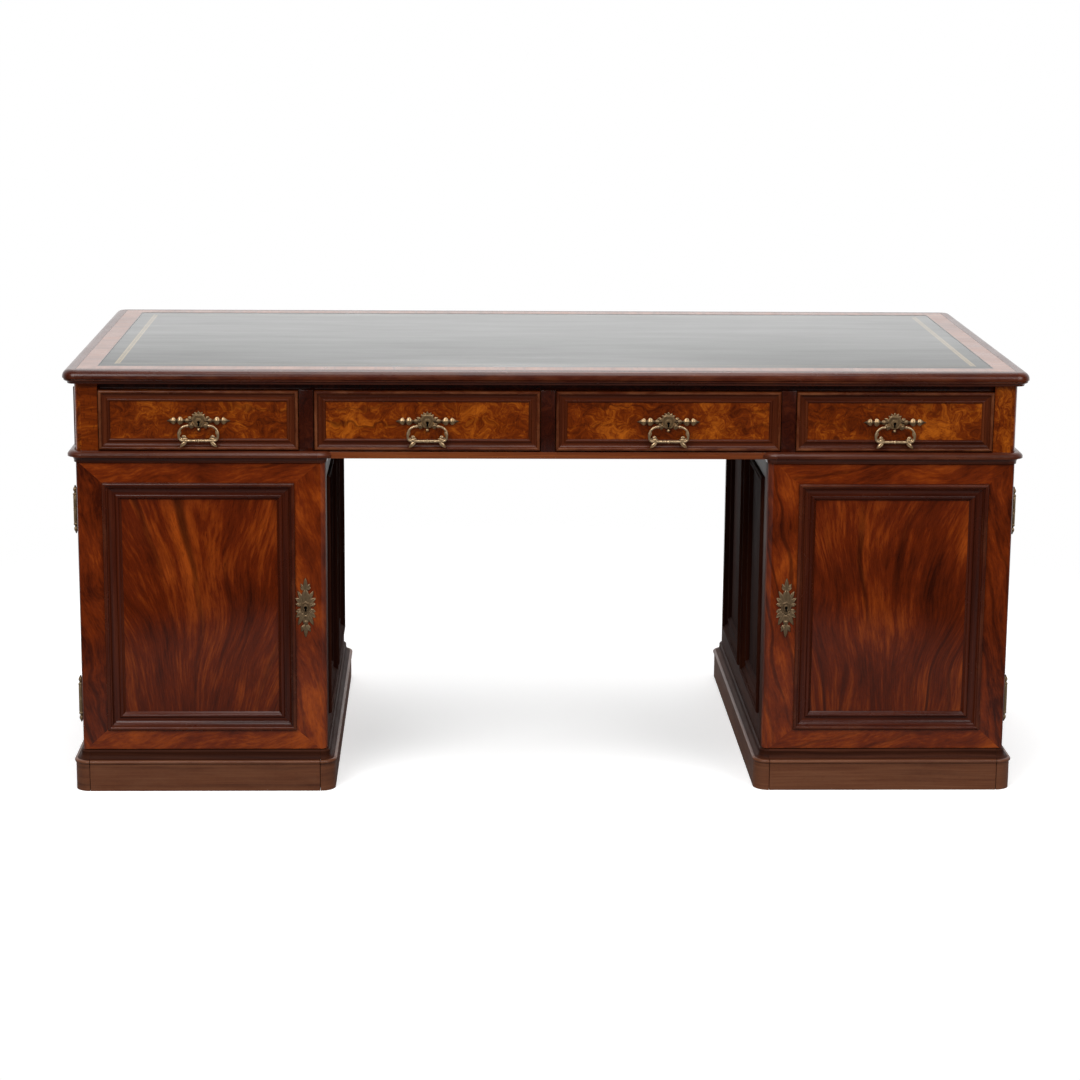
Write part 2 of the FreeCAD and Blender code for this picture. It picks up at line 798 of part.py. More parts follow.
def build_frieze():
    """The frame round the drawers, the boards at its ends and back, and what the drawers run on."""
    members = []
    square = [(S.corner_radius, 0, -S.corner_radius), (S.post_width, 0), (S.post_width, S.post_width),
              (0, S.post_width), (0, S.corner_radius)]
    post_corners = ((-half_width, front), (half_width, front), (half_width, back), (-half_width, back))
    for quarter, corner in enumerate(post_corners):
        post = new_body(f"frieze_post_{quarter + 1}")
        pad(post, new_sketch(post, "XY_Plane", square), frieze_height)
        members.append(put(post, *corner, S.pedestal_height, Rotation(Z_AXIS, 90 * quarter)))
    lower = box("frieze_lower_rail", 2 * post_inner, S.rail_depth, S.lower_rail_height)
    members.append(put(lower, -post_inner, front, S.pedestal_height))
    upper = box("frieze_upper_rail", 2 * post_inner, S.rail_depth - S.upper_rail_setback, S.upper_rail_height)
    put(upper, -post_inner, front + S.upper_rail_setback, opening_top)
    bolt_line = drawer_field + S.drawer_front_thickness - S.lock_depth / 2
    mortises = []
    for number, (centre, width) in enumerate(drawer_places(), start=1):
        length = S.bolt_width + 2 * S.mortise_play
        depth = S.bolt_thickness + 2 * S.mortise_play
        mortise = box(f"drawer_mortise_{number}", length, depth, S.mortise_depth)
        mortises.append(put(mortise, centre - length / 2, bolt_line - depth / 2, opening_top))
    members.append(cut("frieze_upper_rail_cut", upper, *mortises))
    for number, centre in enumerate((-S.outer_muntin_offset, as_size(0), S.outer_muntin_offset), start=1):
        muntin = box(f"frieze_muntin_{number}", S.muntin_width, S.frieze_board, opening_height)
        members.append(put(muntin, centre - S.muntin_width / 2, front, opening_bottom))
    node("frieze_front_frame", *members)

    boards = []
    post_depth = back - S.post_width
    for side, sign in SIDES.items():
        end = box(f"frieze_end_{side}", S.frieze_board, 2 * post_depth, frieze_height)
        low = half_width - S.frieze_board if sign > 0 else -half_width
        boards.append(put(end, low, -post_depth, S.pedestal_height))
        face = Face(sign * half_width, 0, drawer_bottom_edge, sign)
        boards += moulding_frame(f"frieze_end_{side}_moulding", face, as_size(0), as_size(0), 2 * post_depth,
                                 drawer_front_height, S.cock_width, cock_profile())
    rear = box("frieze_back_board", 2 * post_inner, S.frieze_board, frieze_height)
    boards.append(put(rear, -post_inner, back - S.frieze_board, S.pedestal_height))
    face = Face(0, back, drawer_bottom_edge, 2)
    for number, (centre, width) in enumerate(drawer_places(), start=1):
        boards += moulding_frame(f"frieze_back_moulding_{number}", face, centre, as_size(0), width,
                                 drawer_front_height, S.cock_width, cock_profile())
    node("frieze_ends_and_back", *boards)
    build_runners()


def build_runners():
    """Under each edge of a drawer a runner, beside it a guide, and over it a kicker."""
    runner_top = drawer_bottom_edge - S.runner_clearance
    runner_height = runner_top - S.pedestal_height
    start = front + S.rail_depth
    half_muntin = S.muntin_width / 2
    end_guide = S.post_width - S.frieze_board
    places = [
        (-half_width + S.frieze_board, end_guide, 0, S.runner_width),
        (half_width - S.post_width, end_guide, S.runner_width, 0),
    ]
    for centre in (-S.outer_muntin_offset, as_size(0), S.outer_muntin_offset):
        places.append((centre - half_muntin, S.muntin_width, S.runner_width, S.runner_width))
    members = []
    for number, (low, width, left, right) in enumerate(places, start=1):
        stop = S.post_width if number <= len(SIDES) else S.frieze_board
        length = back - stop - start
        runner = box(f"runner_{number}", width + left + right, length, runner_height)
        members.append(put(runner, low - left, start, S.pedestal_height))
        guide = box(f"guide_{number}", width, length, S.guide_height)
        members.append(put(guide, low, start, runner_top))
        kicker = box(f"kicker_{number}", width + left + right, length, S.upper_rail_height)
        members.append(put(kicker, low - left, start, opening_top))
    node("drawer_runners", *members)


def tail_outline(first, last):
    """Side view of a drawer side: dovetails at both ends, between two shoulder lines."""
    pitch = S.drawer_side_height / TAILS
    outline = [(first, 0)]
    for index in range(TAILS):
        middle = pitch * (index + 0.5)
        tip = first - S.dovetail_lap
        outline += [(first, middle - pitch * TAIL_ROOT), (tip, middle - pitch * TAIL_TIP),
                    (tip, middle + pitch * TAIL_TIP), (first, middle + pitch * TAIL_ROOT)]
    outline += [(first, S.drawer_side_height), (last, S.drawer_side_height)]
    for index in reversed(range(TAILS)):
        middle = pitch * (index + 0.5)
        tip = last + S.drawer_back
        outline += [(last, middle + pitch * TAIL_ROOT), (tip, middle + pitch * TAIL_TIP),
                    (tip, middle - pitch * TAIL_TIP), (last, middle - pitch * TAIL_ROOT)]
    return outline + [(last, 0)]


def build_drawer(number, centre, opening):
    """A dovetailed drawer with its moulding, lock and handle."""
    name = f"drawer_{number}"
    face = Face(centre, drawer_field, drawer_bottom_edge, 0)
    width = opening - 2 * S.drawer_gap
    half = width / 2
    thickness = S.drawer_front_thickness
    last = S.drawer_length - S.drawer_back
    sides = []
    for side, sign in SIDES.items():
        blank = new_body(f"{name}_side_{side}")
        pad(blank, new_sketch(blank, "YZ_Plane", tail_outline(thickness, last)), S.drawer_side)
        sides.append(face.put(blank, -half if sign < 0 else half - S.drawer_side))
    bottom_reach = half - S.drawer_side + S.drawer_groove
    bottom = box(f"{name}_bottom", 2 * bottom_reach, last + S.drawer_groove - thickness + S.drawer_groove,
                 S.drawer_bottom)
    face.put(bottom, -bottom_reach, thickness - S.drawer_groove, S.drawer_bottom_level)
    rear = face.put(box(f"{name}_rear", width, S.drawer_back, S.drawer_side_height), -half, last)
    boards = [cut(f"{side.Name}_grooved", side, bottom) for side in sides]
    boards += [cut(f"{name}_rear_cut", rear, *sides, bottom), bottom]
    node(f"{name}_box", *boards)

    pivot = drawer_front_height / 2 - S.handle_drop
    key = pivot + S.key_level
    case_low = key - S.lock_below_key
    case = box(f"{name}_lock_case", S.lock_width, S.lock_depth, drawer_front_height - case_low)
    face.put(case, -S.lock_width / 2, thickness - S.lock_depth, case_low)
    hole = keyway(f"{name}_keyway", face, as_size(0), key, -S.boss_height, thickness)
    blank = face.put(box(f"{name}_front_blank", width, thickness, drawer_front_height), -half)
    node(f"{name}_front", cut(f"{name}_front_cut", blank, *sides, bottom, case, hole))
    node(f"{name}_moulding", *moulding_frame(f"{name}_cock", face, as_size(0), as_size(0), width,
                                             drawer_front_height, S.cock_width, cock_profile()))

    play = S.bolt_play
    channel_height = S.bolt_length + 2 * S.bolt_inset
    channel = box(f"{name}_channel", S.bolt_width + 2 * play, S.bolt_thickness + 2 * play, channel_height)
    bolt_line = thickness - S.lock_depth / 2
    channel_low = drawer_front_height - channel_height
    face.put(channel, -S.bolt_width / 2 - play, bolt_line - S.bolt_thickness / 2 - play, channel_low)
    node(f"{name}_lock", cut(f"{name}_lock_cut", case, channel, hole))
    bolt = box(f"{name}_bolt_bar", S.bolt_width, S.bolt_thickness, S.bolt_length)
    node(f"{name}_lock_bolt", face.put(bolt, -S.bolt_width / 2, bolt_line - S.bolt_thickness / 2,
                                       channel_low + S.bolt_inset))
    build_handle(name, Face(centre, drawer_field, drawer_bottom_edge + pivot, 0), hole)


def build_handle(name, face, hole):
    """The brass handle, about its pivot line: backplate with two posts, and the bail between them."""
    thick = S.plate_thickness
    axis = S.plate_axis
    forms = [
        disc(f"{name}_shield", face, 0, S.shield_lift, S.shield_radius, thick),
        disc(f"{name}_crown", face, 0, S.shield_lift + S.shield_radius, S.finial_radius, thick),
        disc(f"{name}_pendant", face, 0, S.shield_lift - S.shield_radius, S.finial_radius, thick),
    ]
    forms.append(disc(f"{name}_boss", face, 0, S.shield_lift, S.boss_radius, S.boss_height))
    forms.append(face.put(build_arms(name), 0, 0, axis))
    bores = [hole]
    for side, sign in SIDES.items():
        post_length = S.pivot_standoff + S.post_radius
        forms += [
            disc(f"{name}_ear_{side}", face, sign * S.post_offset, 0, S.ear_radius, thick),
            disc(f"{name}_post_{side}", face, sign * S.post_offset, 0, S.post_radius, post_length),
        ]
        bore = cylinder(f"{name}_bore_{side}", S.pivot_radius + S.pivot_clearance, 4 * S.post_radius)
        start = sign * S.post_offset - 2 * S.post_radius
        bores.append(face.put(bore, start, -S.pivot_standoff, 0, Rotation(Y_AXIS, 90)))
    plate = fuse(f"{name}_plate_forms", *forms)
    node(f"{name}_handle_plate", cut(f"{name}_plate_cut", plate, *bores))
    node(f"{name}_bail", build_bail(name, face))


def build_arms(name):
    """The turned arms of the plate, flat behind: a bead, two knops and a pointed tip on each side."""
    body = new_body(f"{name}_arms")
    beads = [(S.arm_bead_offset, S.arm_bead), (S.knop_offset, S.knop_width), (S.tip_knop_offset, S.knop_width)]
    outline = [(-S.plate_reach, 0)]
    for centre, width in [(-offset, width) for offset, width in reversed(beads)] + beads:
        outline += [(centre - width / 2, S.arm_neck), (centre + width / 2, S.arm_neck, width * HALF_ROUND)]
    outline.append((S.plate_reach, 0))
    turn(body, new_sketch(body, "XZ_Plane", outline), "X_Axis", 180)
    return body


def build_bail(name, face):
    """The swinging bail: a bent loop, a turned grip with a bead, and two splayed feet."""
    side = S.bail_shoulder + S.bail_bend
    bend_low = -S.bail_bend
    corner_top = bend_low - S.bail_straight
    bar = corner_top - S.bail_corner
    bar_end = side - S.bail_corner
    body = new_body(f"{name}_loop")
    path = body.newObject("Sketcher::SketchObject", f"{name}_loop_path")
    path.AttachmentSupport = [(origin_feature(body, "XZ_Plane"), "")]
    path.MapMode = "FlatFace"
    draw(path, [
        (-S.bail_shoulder, 0),
        (-side, bend_low, -S.bail_bend),
        (-side, corner_top),
        (-bar_end, bar, -S.bail_corner),
        (bar_end, bar),
        (side, corner_top, -S.bail_corner),
        (side, bend_low),
        (S.bail_shoulder, 0, -S.bail_bend),
    ], closed=False)
    section = body.newObject("Sketcher::SketchObject", f"{name}_loop_section")
    section.AttachmentSupport = [(origin_feature(body, "YZ_Plane"), "")]
    section.MapMode = "FlatFace"
    tie(section, ".AttachmentOffset.Base.z", -S.bail_shoulder)
    circle = section.addGeometry(Part.Circle(Vector(), Z_AXIS, S.bail_wire.number), False)
    section.addConstraint(Sketcher.Constraint("Coincident", circle, 3, -1, 1))
    radius = section.addConstraint(Sketcher.Constraint("Radius", circle, S.bail_wire.number))
    tie(section, f"Constraints[{radius}]", S.bail_wire)
    pipe = body.newObject("PartDesign::AdditivePipe", f"{name}_loop_pipe")
    pipe.Profile = section
    pipe.Spine = (path, [f"Edge{index}" for index in range(1, 8)])
    forms = [face.put(body, 0, -S.pivot_standoff, 0)]
    forms.append(face.put(build_grip(name), 0, -S.pivot_standoff, bar))
    splay = math.radians(S.foot_splay.number)
    for side_name, sign in SIDES.items():
        pin_end = S.post_offset - S.post_radius
        pin = cylinder(f"{name}_pin_{side_name}", S.pivot_radius, S.bail_shoulder - pin_end)
        pin_start = pin_end if sign > 0 else -S.bail_shoulder
        forms.append(face.put(pin, pin_start, -S.pivot_standoff, 0, Rotation(Y_AXIS, 90)))
        foot = doc.addObject("Part::Cone", f"{name}_foot_{side_name}")
        bind(foot, Radius1=S.bail_wire, Radius2=S.foot_radius, Height=S.foot_length)
        lean = Rotation(Y_AXIS, sign * (180 - S.foot_splay.number))
        forms.append(face.put(foot, sign * bar_end, -S.pivot_standoff, bar, lean))
        toe = doc.addObject("Part::Sphere", f"{name}_toe_{side_name}")
        bind(toe, Radius=S.foot_radius)
        toe_x = bar_end + S.foot_length * math.sin(splay)
        forms.append(face.put(toe, sign * toe_x, -S.pivot_standoff, bar - S.foot_length * math.cos(splay)))
    return fuse(f"{name}_bail_forms", *forms)


def build_grip(name):
    """The turned middle of the bail's bar: a bead between two collars."""
    body = new_body(f"{name}_grip")
    wire = S.bail_wire
    end = S.bar_collar_offset + S.bar_collar
    outline = [(-end, 0), (-end, wire)]
    for centre, width in ((-S.bar_collar_offset, S.bar_collar), (as_size(0), S.bar_bead),
                          (S.bar_collar_offset, S.bar_collar)):
        outline += [(centre - width / 2, wire), (centre + width / 2, wire, width * HALF_ROUND)]
    outline += [(end, wire), (end, 0)]
    turn(body, new_sketch(body, "XY_Plane", outline), "X_Axis", 360)
    return body


def knuckle_outline(pin):
    """Half section of a hinge knuckle from its split upwards: barrel and onion finial."""
    neck = S.knuckle_radius / 2
    neck_low = S.knuckle_length + S.finial_length * 0.15
    neck_high = S.knuckle_length + S.finial_length * 0.3
    tip = S.knuckle_length + S.finial_length
    onion = span(neck, tip - neck_high) * HALF_ROUND
    outer = [
        (S.knuckle_radius, S.hinge_split),
        (S.knuckle_radius, S.knuckle_length),
        (neck, neck_low),
        (neck, neck_high),
        (0, tip, onion),
    ]
    return outer + pin


def build_hinge(name, side, level):
    """One lift-off hinge: the fixed half with the pin, and the half on the door with the bore."""
    sign = SIDES[side]
    bore = S.hinge_pin + S.hinge_pin_clearance
    bore_end = S.hinge_pin_length + S.hinge_split
    moving = new_body(f"{name}_upper_knuckle")
    sleeve = [(0, bore_end), (bore, bore_end), (bore, S.hinge_split)]
    turn(moving, new_sketch(moving, "XZ_Plane", knuckle_outline(sleeve)), "Z_Axis", 360)
    put(moving, sign * hinge_offset, hinge_line, level)
    fixed = new_body(f"{name}_lower_knuckle")
    stem = [(0, -S.hinge_pin_length), (S.hinge_pin, -S.hinge_pin_length), (S.hinge_pin, S.hinge_split)]
    turn(fixed, new_sketch(fixed, "XZ_Plane", knuckle_outline(stem)), "Z_Axis", 360)
    put(fixed, sign * hinge_offset, hinge_line, level, Rotation(X_AXIS, 180))
    wall = S.hinge_pin + S.hinge_leaf / 2
    reach = hinge_offset - wall - half_width + S.hinge_leaf_width
    low = half_width - S.hinge_leaf_width if sign > 0 else -hinge_offset + wall
    leaf_height = S.knuckle_length - 2 * S.hinge_leaf_margin
    leaves = []
    for half, depth, bottom in (("upper", door_back - S.hinge_leaf, S.hinge_leaf_margin),
                                ("lower", case_front, -S.hinge_leaf_margin - leaf_height)):
        leaf = box(f"{name}_{half}_leaf", reach, S.hinge_leaf, leaf_height)
        leaves.append(put(leaf, low, depth, level + bottom))
    return fuse(f"{name}_upper", moving, leaves[0]), fuse(f"{name}_lower", fixed, leaves[1]), leaves


def build_plinth(side, low, high):
    """The plinth of a pedestal: four lengths between turned corner blocks."""
    runs, corners = moulded_ring(f"{side}_plinth", plinth_profile(), low, high, S.corner_radius)
    node(f"{side}_plinth", *runs, *corners)


def build_waist(side, low, high):
    """The moulding round a pedestal's head. On the knee side it stays below the frieze."""
    sign = SIDES[side]
    runs, corners = moulded_ring(f"{side}_waist", waist_profile(), low, high, S.corner_radius)
    reach = 2 * (S.waist_projection + S.corner_radius)
    frieze_room = box(f"{side}_frieze_room", 2 * reach, 2 * back, frieze_height)
    put(frieze_room, sign * half_kneehole - reach, front, S.pedestal_height)
    inner_run = 2 if sign > 0 else 0
    inner_corners = (1, 2) if sign > 0 else (0, 3)
    runs[inner_run] = cut(f"{side}_waist_inner_run", runs[inner_run], frieze_room)
    for index in inner_corners:
        corners[index] = cut(f"{side}_waist_inner_corner_{index}", corners[index], frieze_room)
    return runs + corners


def build_case(side, low, high, leaves, mortise):
    """Sides, back and boards of a pedestal."""
    sign = SIDES[side]
    middle = (case_front + case_back) / 2
    stiles = (S.side_stile, S.side_stile)
    front_stile = {"outer": 0 if sign > 0 else 1, "inner": 1 if sign > 0 else 0}
    for place, x, quarter, tools in (("outer", sign * half_width, sign, leaves),
                                     ("inner", sign * half_kneehole, -sign, [mortise])):
        face = Face(x, middle, S.plinth_height, quarter)
        name = f"{side}_{place}_side"
        frame, panels, mouldings = framed_panel(name, face, case_depth, case_height, stiles, S.side_rail,
                                                S.side_muntin, 2)
        index = front_stile[place]
        frame[index] = cut(f"{name}_front_stile", frame[index], *tools)
        node(name, *frame, *panels, *mouldings)
    face = Face(sign * case_middle, back, S.plinth_height, 2)
    frame, panels, mouldings = framed_panel(f"{side}_back", face, case_width, case_height,
                                            (S.back_stile, S.back_stile), S.side_rail,
                                            radii=(S.corner_radius, S.corner_radius))
    node(f"{side}_back", *frame, *panels, *mouldings)
    build_boards(side, low, high)


def build_boards(side, low, high):
    """Bottom and the bearer behind the plinth, top, front lip, shelf and shelf bearers of a pedestal."""
    inside_low = low[0] + S.frame_thickness
    inside = case_width - 2 * S.frame_thickness
    bottom = box(f"{side}_bottom_board", inside, case_depth, S.case_board)
    put(bottom, inside_low, case_front, S.plinth_height)
    plinth_bearer = box(f"{side}_plinth_bearer", case_width - 2 * S.corner_radius, S.plinth_bearer, S.case_board)
    put(plinth_bearer, low[0] + S.corner_radius, front + S.plinth_wall - S.plinth_projection,
        S.plinth_height - S.case_board)
    top = box(f"{side}_top_board", inside, case_depth, S.case_board)
    put(top, inside_low, case_front, S.pedestal_height - S.case_board)
    lip = new_body(f"{side}_front_lip")
    depth = case_front - front
    half = case_width / 2
    radius = S.corner_radius
    outline = [(radius - half, 0, -radius), (half - radius, 0), (half, radius, -radius), (half, depth),
               (-half, depth), (-half, radius)]
    pad(lip, new_sketch(lip, "XY_Plane", outline), S.waist_drop)
    put(lip, (low[0] + high[0]) / 2, front, waist_bottom)
    shelf_depth = case_depth - S.shelf_setback
    shelf = box(f"{side}_shelf", inside - 2 * S.shelf_clearance, shelf_depth, S.shelf_thickness)
    put(shelf, inside_low + S.shelf_clearance, case_front + S.shelf_setback, S.shelf_level)
    bearers = []
    for place, x in (("low", inside_low), ("high", inside_low + inside - S.bearer_section)):
        bearer = box(f"{side}_bearer_{place}", S.bearer_section, shelf_depth, S.bearer_section)
        bearers.append(put(bearer, x, case_front + S.shelf_setback, S.shelf_level - S.bearer_section))
    node(f"{side}_case_boards", bottom, plinth_bearer, top, lip, shelf, *bearers)


def build_door(side, leaves):
    """A pedestal door with its lock and escutcheon."""
    sign = SIDES[side]
    name = f"{side}_door"
    face = Face(sign * case_middle, front, door_bottom, 0)
    hinge_side = 1 if sign > 0 else 0
    stiles = (S.lock_stile, S.hinge_stile) if sign > 0 else (S.hinge_stile, S.lock_stile)
    radii = (S.corner_radius, S.hinge_edge_radius) if sign > 0 else (S.hinge_edge_radius, S.corner_radius)
    frame, panels, mouldings = framed_panel(name, face, case_width, door_height, stiles, S.door_rail,
                                            radii=radii)
    key_x = -sign * (case_width / 2 - S.door_key_inset)
    key_z = door_height / 2
    hole = keyway(f"{name}_keyway", face, key_x, key_z, -S.escutcheon_thickness,
                  S.frame_thickness + S.lock_depth / 2)
    frame[hinge_side] = cut(f"{name}_hinge_stile", frame[hinge_side], *leaves)
    frame[1 - hinge_side] = cut(f"{name}_lock_stile", frame[1 - hinge_side], hole)
    node(f"{name}_frame", *frame)
    node(f"{name}_panel", *panels)
    node(f"{name}_moulding", *mouldings)
    node(f"{name}_escutcheon", build_escutcheon(name, face, key_x, key_z, hole))
    lock_edge = half_kneehole + S.frame_thickness + S.door_lock_gap
    build_door_lock(name, sign, lock_edge, door_bottom + key_z, hole)


def build_door_lock(name, sign, edge, level, hole):
    """A cupboard lock on the back of the door, whose bolt shoots into the inner side's stile."""
    play = S.bolt_play
    case = box(f"{name}_lock_case", S.lock_width, S.lock_depth, S.door_lock_height)
    case_low = edge if sign > 0 else -edge - S.lock_width
    put(case, case_low, door_back, level - S.door_lock_height / 2)
    bolt_low = level + S.bolt_offset - S.bolt_width / 2
    bolt_line = door_back + S.lock_depth / 2 - S.bolt_thickness / 2
    channel_length = S.bolt_length + 2 * S.bolt_inset
    channel = box(f"{name}_channel", channel_length, S.bolt_thickness + 2 * play, S.bolt_width + 2 * play)
    put(channel, edge if sign > 0 else -edge - channel_length, bolt_line - play, bolt_low - play)
    node(f"{name}_lock", cut(f"{name}_lock_cut", case, channel, hole))
    bolt = box(f"{name}_bolt_bar", S.bolt_length, S.bolt_thickness, S.bolt_width)
    bolt_start = edge + S.bolt_inset
    put(bolt, bolt_start if sign > 0 else -bolt_start - S.bolt_length, bolt_line, bolt_low)
    node(f"{name}_lock_bolt", bolt)


def door_mortise(side):
    """The slot in the inner side's front stile that takes the door's bolt."""
    sign = SIDES[side]
    play = S.mortise_play
    level = door_bottom + door_height / 2 + S.bolt_offset - S.bolt_width / 2 - play
    inner_face = half_kneehole + S.frame_thickness
    mortise = box(f"{side}_mortise", S.mortise_depth, S.bolt_thickness + 2 * play, S.bolt_width + 2 * play)
    x = inner_face - S.mortise_depth if sign > 0 else -inner_face
    return put(mortise, x, door_back + S.lock_depth / 2 - S.bolt_thickness / 2 - play, level)


def build_escutcheon(name, face, x, z, hole):
    """A pierced lozenge of leaves and lobes round the keyhole."""
    thick = S.escutcheon_thickness
    lobe = S.escutcheon_lobe
    half = S.escutcheon_height / 2
    reach = S.escutcheon_width / 2 - lobe
    spine_width = S.escutcheon_width * SPINE_SHARE
    forms = [lens(f"{name}_spine", face, x, z, S.escutcheon_height, spine_width, thick, upright=True)]
    pierced = [hole]
    for sign, place in ((-1, "left"), (1, "right")):
        for level, end in ((-1, "low"), (1, "high")):
            lobe_z = z + level * lobe * LOBE_STEP
            forms.append(disc(f"{name}_lobe_{place}_{end}", face, x + sign * reach, lobe_z, lobe, thick))
            tip_z = z + level * half * 0.7
            forms.append(disc(f"{name}_tip_{place}_{end}", face, x + sign * lobe, tip_z, lobe * 0.8, thick))
            eye = disc(f"{name}_eye_{place}_{end}", face, x + sign * lobe * 1.1, z + level * half * 0.38,
                       S.escutcheon_eye * 0.8, thick)
            pierced.append(eye)
    return cut(f"{name}_escutcheon_cut", fuse(f"{name}_escutcheon_forms", *forms), *pierced)


def build_pedestals():
    """Both pedestals, with their doors and hinges."""
    fixed_hinges = []
    waists = []
    for side, sign in SIDES.items():
        low_x, high_x = (half_kneehole, half_width) if sign > 0 else (-half_width, -half_kneehole)
        low, high = (low_x, front), (high_x, back)
        moving = []
        door_leaves = []
        case_leaves = []
        for place, level in (("lower", door_bottom + S.hinge_inset),
                             ("upper", door_bottom + door_height - S.hinge_inset)):
            on_door, on_case, leaves = build_hinge(f"{side}_{place}_hinge", side, level)
            moving.append(on_door)
            fixed_hinges.append(on_case)
            door_leaves.append(leaves[0])
            case_leaves.append(leaves[1])
        build_plinth(side, low, high)
        waists += build_waist(side, low, high)
        build_case(side, low, high, case_leaves, door_mortise(side))
        build_door(side, door_leaves)
        node(f"{side}_door_hinges", *moving)
    node("waist_mouldings", *waists)
    node("case_hinges", *fixed_hinges)


def check_document():
    """Stop if any object failed, or a sub-part is empty or not valid."""
    for item in doc.Objects:
        if "Invalid" in item.State or "Error" in item.State:
            raise RuntimeError(f"{item.Label} failed to build: {item.State}")
    for item in nodes:
        if item.Shape.isNull() or not item.Shape.isValid() or not item.Shape.Solids:
            raise RuntimeError(f"{item.Label} has no valid solid")


build_top()
build_frieze()
for order, place in enumerate(drawer_places(), start=1):
    build_drawer(order, *place)
build_pedestals()
doc.recompute()
check_document()
os.makedirs("parts", exist_ok=True)
for item in nodes:
    item.Shape.exportStep(f"parts/{item.Label}.step")
print(len(nodes), "sub-parts,", sum(len(item.Shape.Solids) for item in nodes), "solids")
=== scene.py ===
"""Looks of a walnut pedestal desk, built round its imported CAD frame. Metres, +Z up, front to -Y."""

import json
import logging
import math
from dataclasses import dataclass, replace
from enum import Enum
from typing import Any, Callable, Optional, Sequence

import bpy
import numpy as np
from mathutils import Matrix, Vector


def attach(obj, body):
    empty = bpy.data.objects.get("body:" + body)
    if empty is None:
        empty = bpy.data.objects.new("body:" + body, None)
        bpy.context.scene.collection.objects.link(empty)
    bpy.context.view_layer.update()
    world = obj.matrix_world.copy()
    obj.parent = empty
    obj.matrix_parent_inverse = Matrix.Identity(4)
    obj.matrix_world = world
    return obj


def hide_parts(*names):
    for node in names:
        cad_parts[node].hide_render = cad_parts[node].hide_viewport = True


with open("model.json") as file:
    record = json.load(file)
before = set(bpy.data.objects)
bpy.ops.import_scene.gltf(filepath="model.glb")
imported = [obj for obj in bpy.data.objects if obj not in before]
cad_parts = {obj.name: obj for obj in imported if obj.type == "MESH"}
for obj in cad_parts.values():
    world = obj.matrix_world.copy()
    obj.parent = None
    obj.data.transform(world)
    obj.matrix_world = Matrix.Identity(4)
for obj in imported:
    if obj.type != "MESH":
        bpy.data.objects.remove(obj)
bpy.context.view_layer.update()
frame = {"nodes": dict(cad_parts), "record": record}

logging.basicConfig(level=logging.INFO, format="%(message)s")
log = logging.getLogger("desk")

Array = np.ndarray
Colour = tuple[float, float, float]
Point = tuple[float, ...]
Socket = bpy.types.NodeSocket

MM = 0.001
TINY = 1e-9  # keeps a divisor above nothing
EDGE = 0.0007  # rounding of a board's edges
FINE_EDGE = 0.0003  # rounding of thin and of hidden boards
SHARP_ANGLE = math.radians(32)  # faces that turn by more than this meet in a crisp edge
VENEER_STEP = np.array([0.618, 0.381])  # takes each shell's figure from a spot of its own
VENEER_REACH = 9


# Curves and surfaces

def outline(points: Sequence[Point], steps: int = 6) -> Array:
    """Sample a line of straight stretches and arcs, in millimetres, into metres.

    A third value in a point is the radius of the arc that ends there: the arc bulges to the left of
    its travel, or to the right where the radius is negative. The centre lies on the chord's
    bisector, at the distance that makes both ends one radius away.

    Args:
        points: (x, y) or (x, y, radius) in millimetres.
        steps: straight pieces in each arc.

    Returns:
        An (n, 2) array of points in metres.
    """
    line = [np.array(points[:1], float)[:, :2]]
    for start, end in zip(points, points[1:]):
        first, last = np.array(start[:2], float), np.array(end[:2], float)
        if len(end) == 2:
            line.append(last[None])
            continue
        chord = last - first
        half = np.hypot(*chord) / 2
        right = np.array([chord[1], -chord[0]]) / (2 * half)
        reach = math.sqrt(max(end[2] ** 2 - half ** 2, 0))
        centre = (first + last) / 2 + np.sign(end[2]) * reach * right
        begin, finish = (math.atan2(*(corner - centre)[::-1]) for corner in (first, last))
        sweep = (finish - begin + math.pi) % (2 * math.pi) - math.pi
        angles = begin + sweep * np.linspace(0, 1, steps + 1)[1:]
        line.append(centre + abs(end[2]) * np.stack([np.cos(angles), np.sin(angles)], -1))
    return np.concatenate(line) * MM


def anticlockwise(section: Array) -> Array:
    """Turn a closed section round, if need be, so that it runs anticlockwise.

    Args:
        section: (n, 2) points.

    Returns:
        The points, in this order or the other.
    """
    x, y = section.T
    area = np.sum(x * np.roll(y, -1) - np.roll(x, -1) * y)
    return section if area > 0 else section[::-1]


def perimeter(section: Array) -> Array:
    """Distance along a closed section, with the closing point at the end."""
    steps = np.linalg.norm(np.roll(section, -1, 0) - section, axis=1)
    return np.concatenate([[0], np.cumsum(steps)])


def about_y(degrees: float) -> Array:
    """Rotation about Y."""
    c, s = math.cos(math.radians(degrees)), math.sin(math.radians(degrees))
    return np.array([[c, 0, s], [0, 1, 0], [-s, 0, c]])


def about_z(degrees: float) -> Array:
    """Rotation about Z."""
    c, s = math.cos(math.radians(degrees)), math.sin(math.radians(degrees))
    return np.array([[c, -s, 0], [s, c, 0], [0, 0, 1]])


@dataclass(frozen=True)
class Face:
    """A place on the desk that looks outwards: -Y, turned by quarter turns about Z.

    Its own directions are x to the right along the face, y into the desk and z up.
    """

    x: float
    y: float
    z: float
    quarter: int = 0

    def set(self, points: Array, x: float = 0, y: float = 0, z: float = 0, spin: float = 0) -> Array:
        """Turn points by spin about the face's own y, move them along the face and put them on the desk.

        Args:
            points: array of points, last axis x, y, z.
            x, y, z: place in the face's own directions.
            spin: degrees about the face's own y.

        Returns:
            The points in the desk's frame.
        """
        local = points @ about_y(spin).T + np.array([x, y, z])
        return local @ about_z(90 * self.quarter).T + np.array([self.x, self.y, self.z])


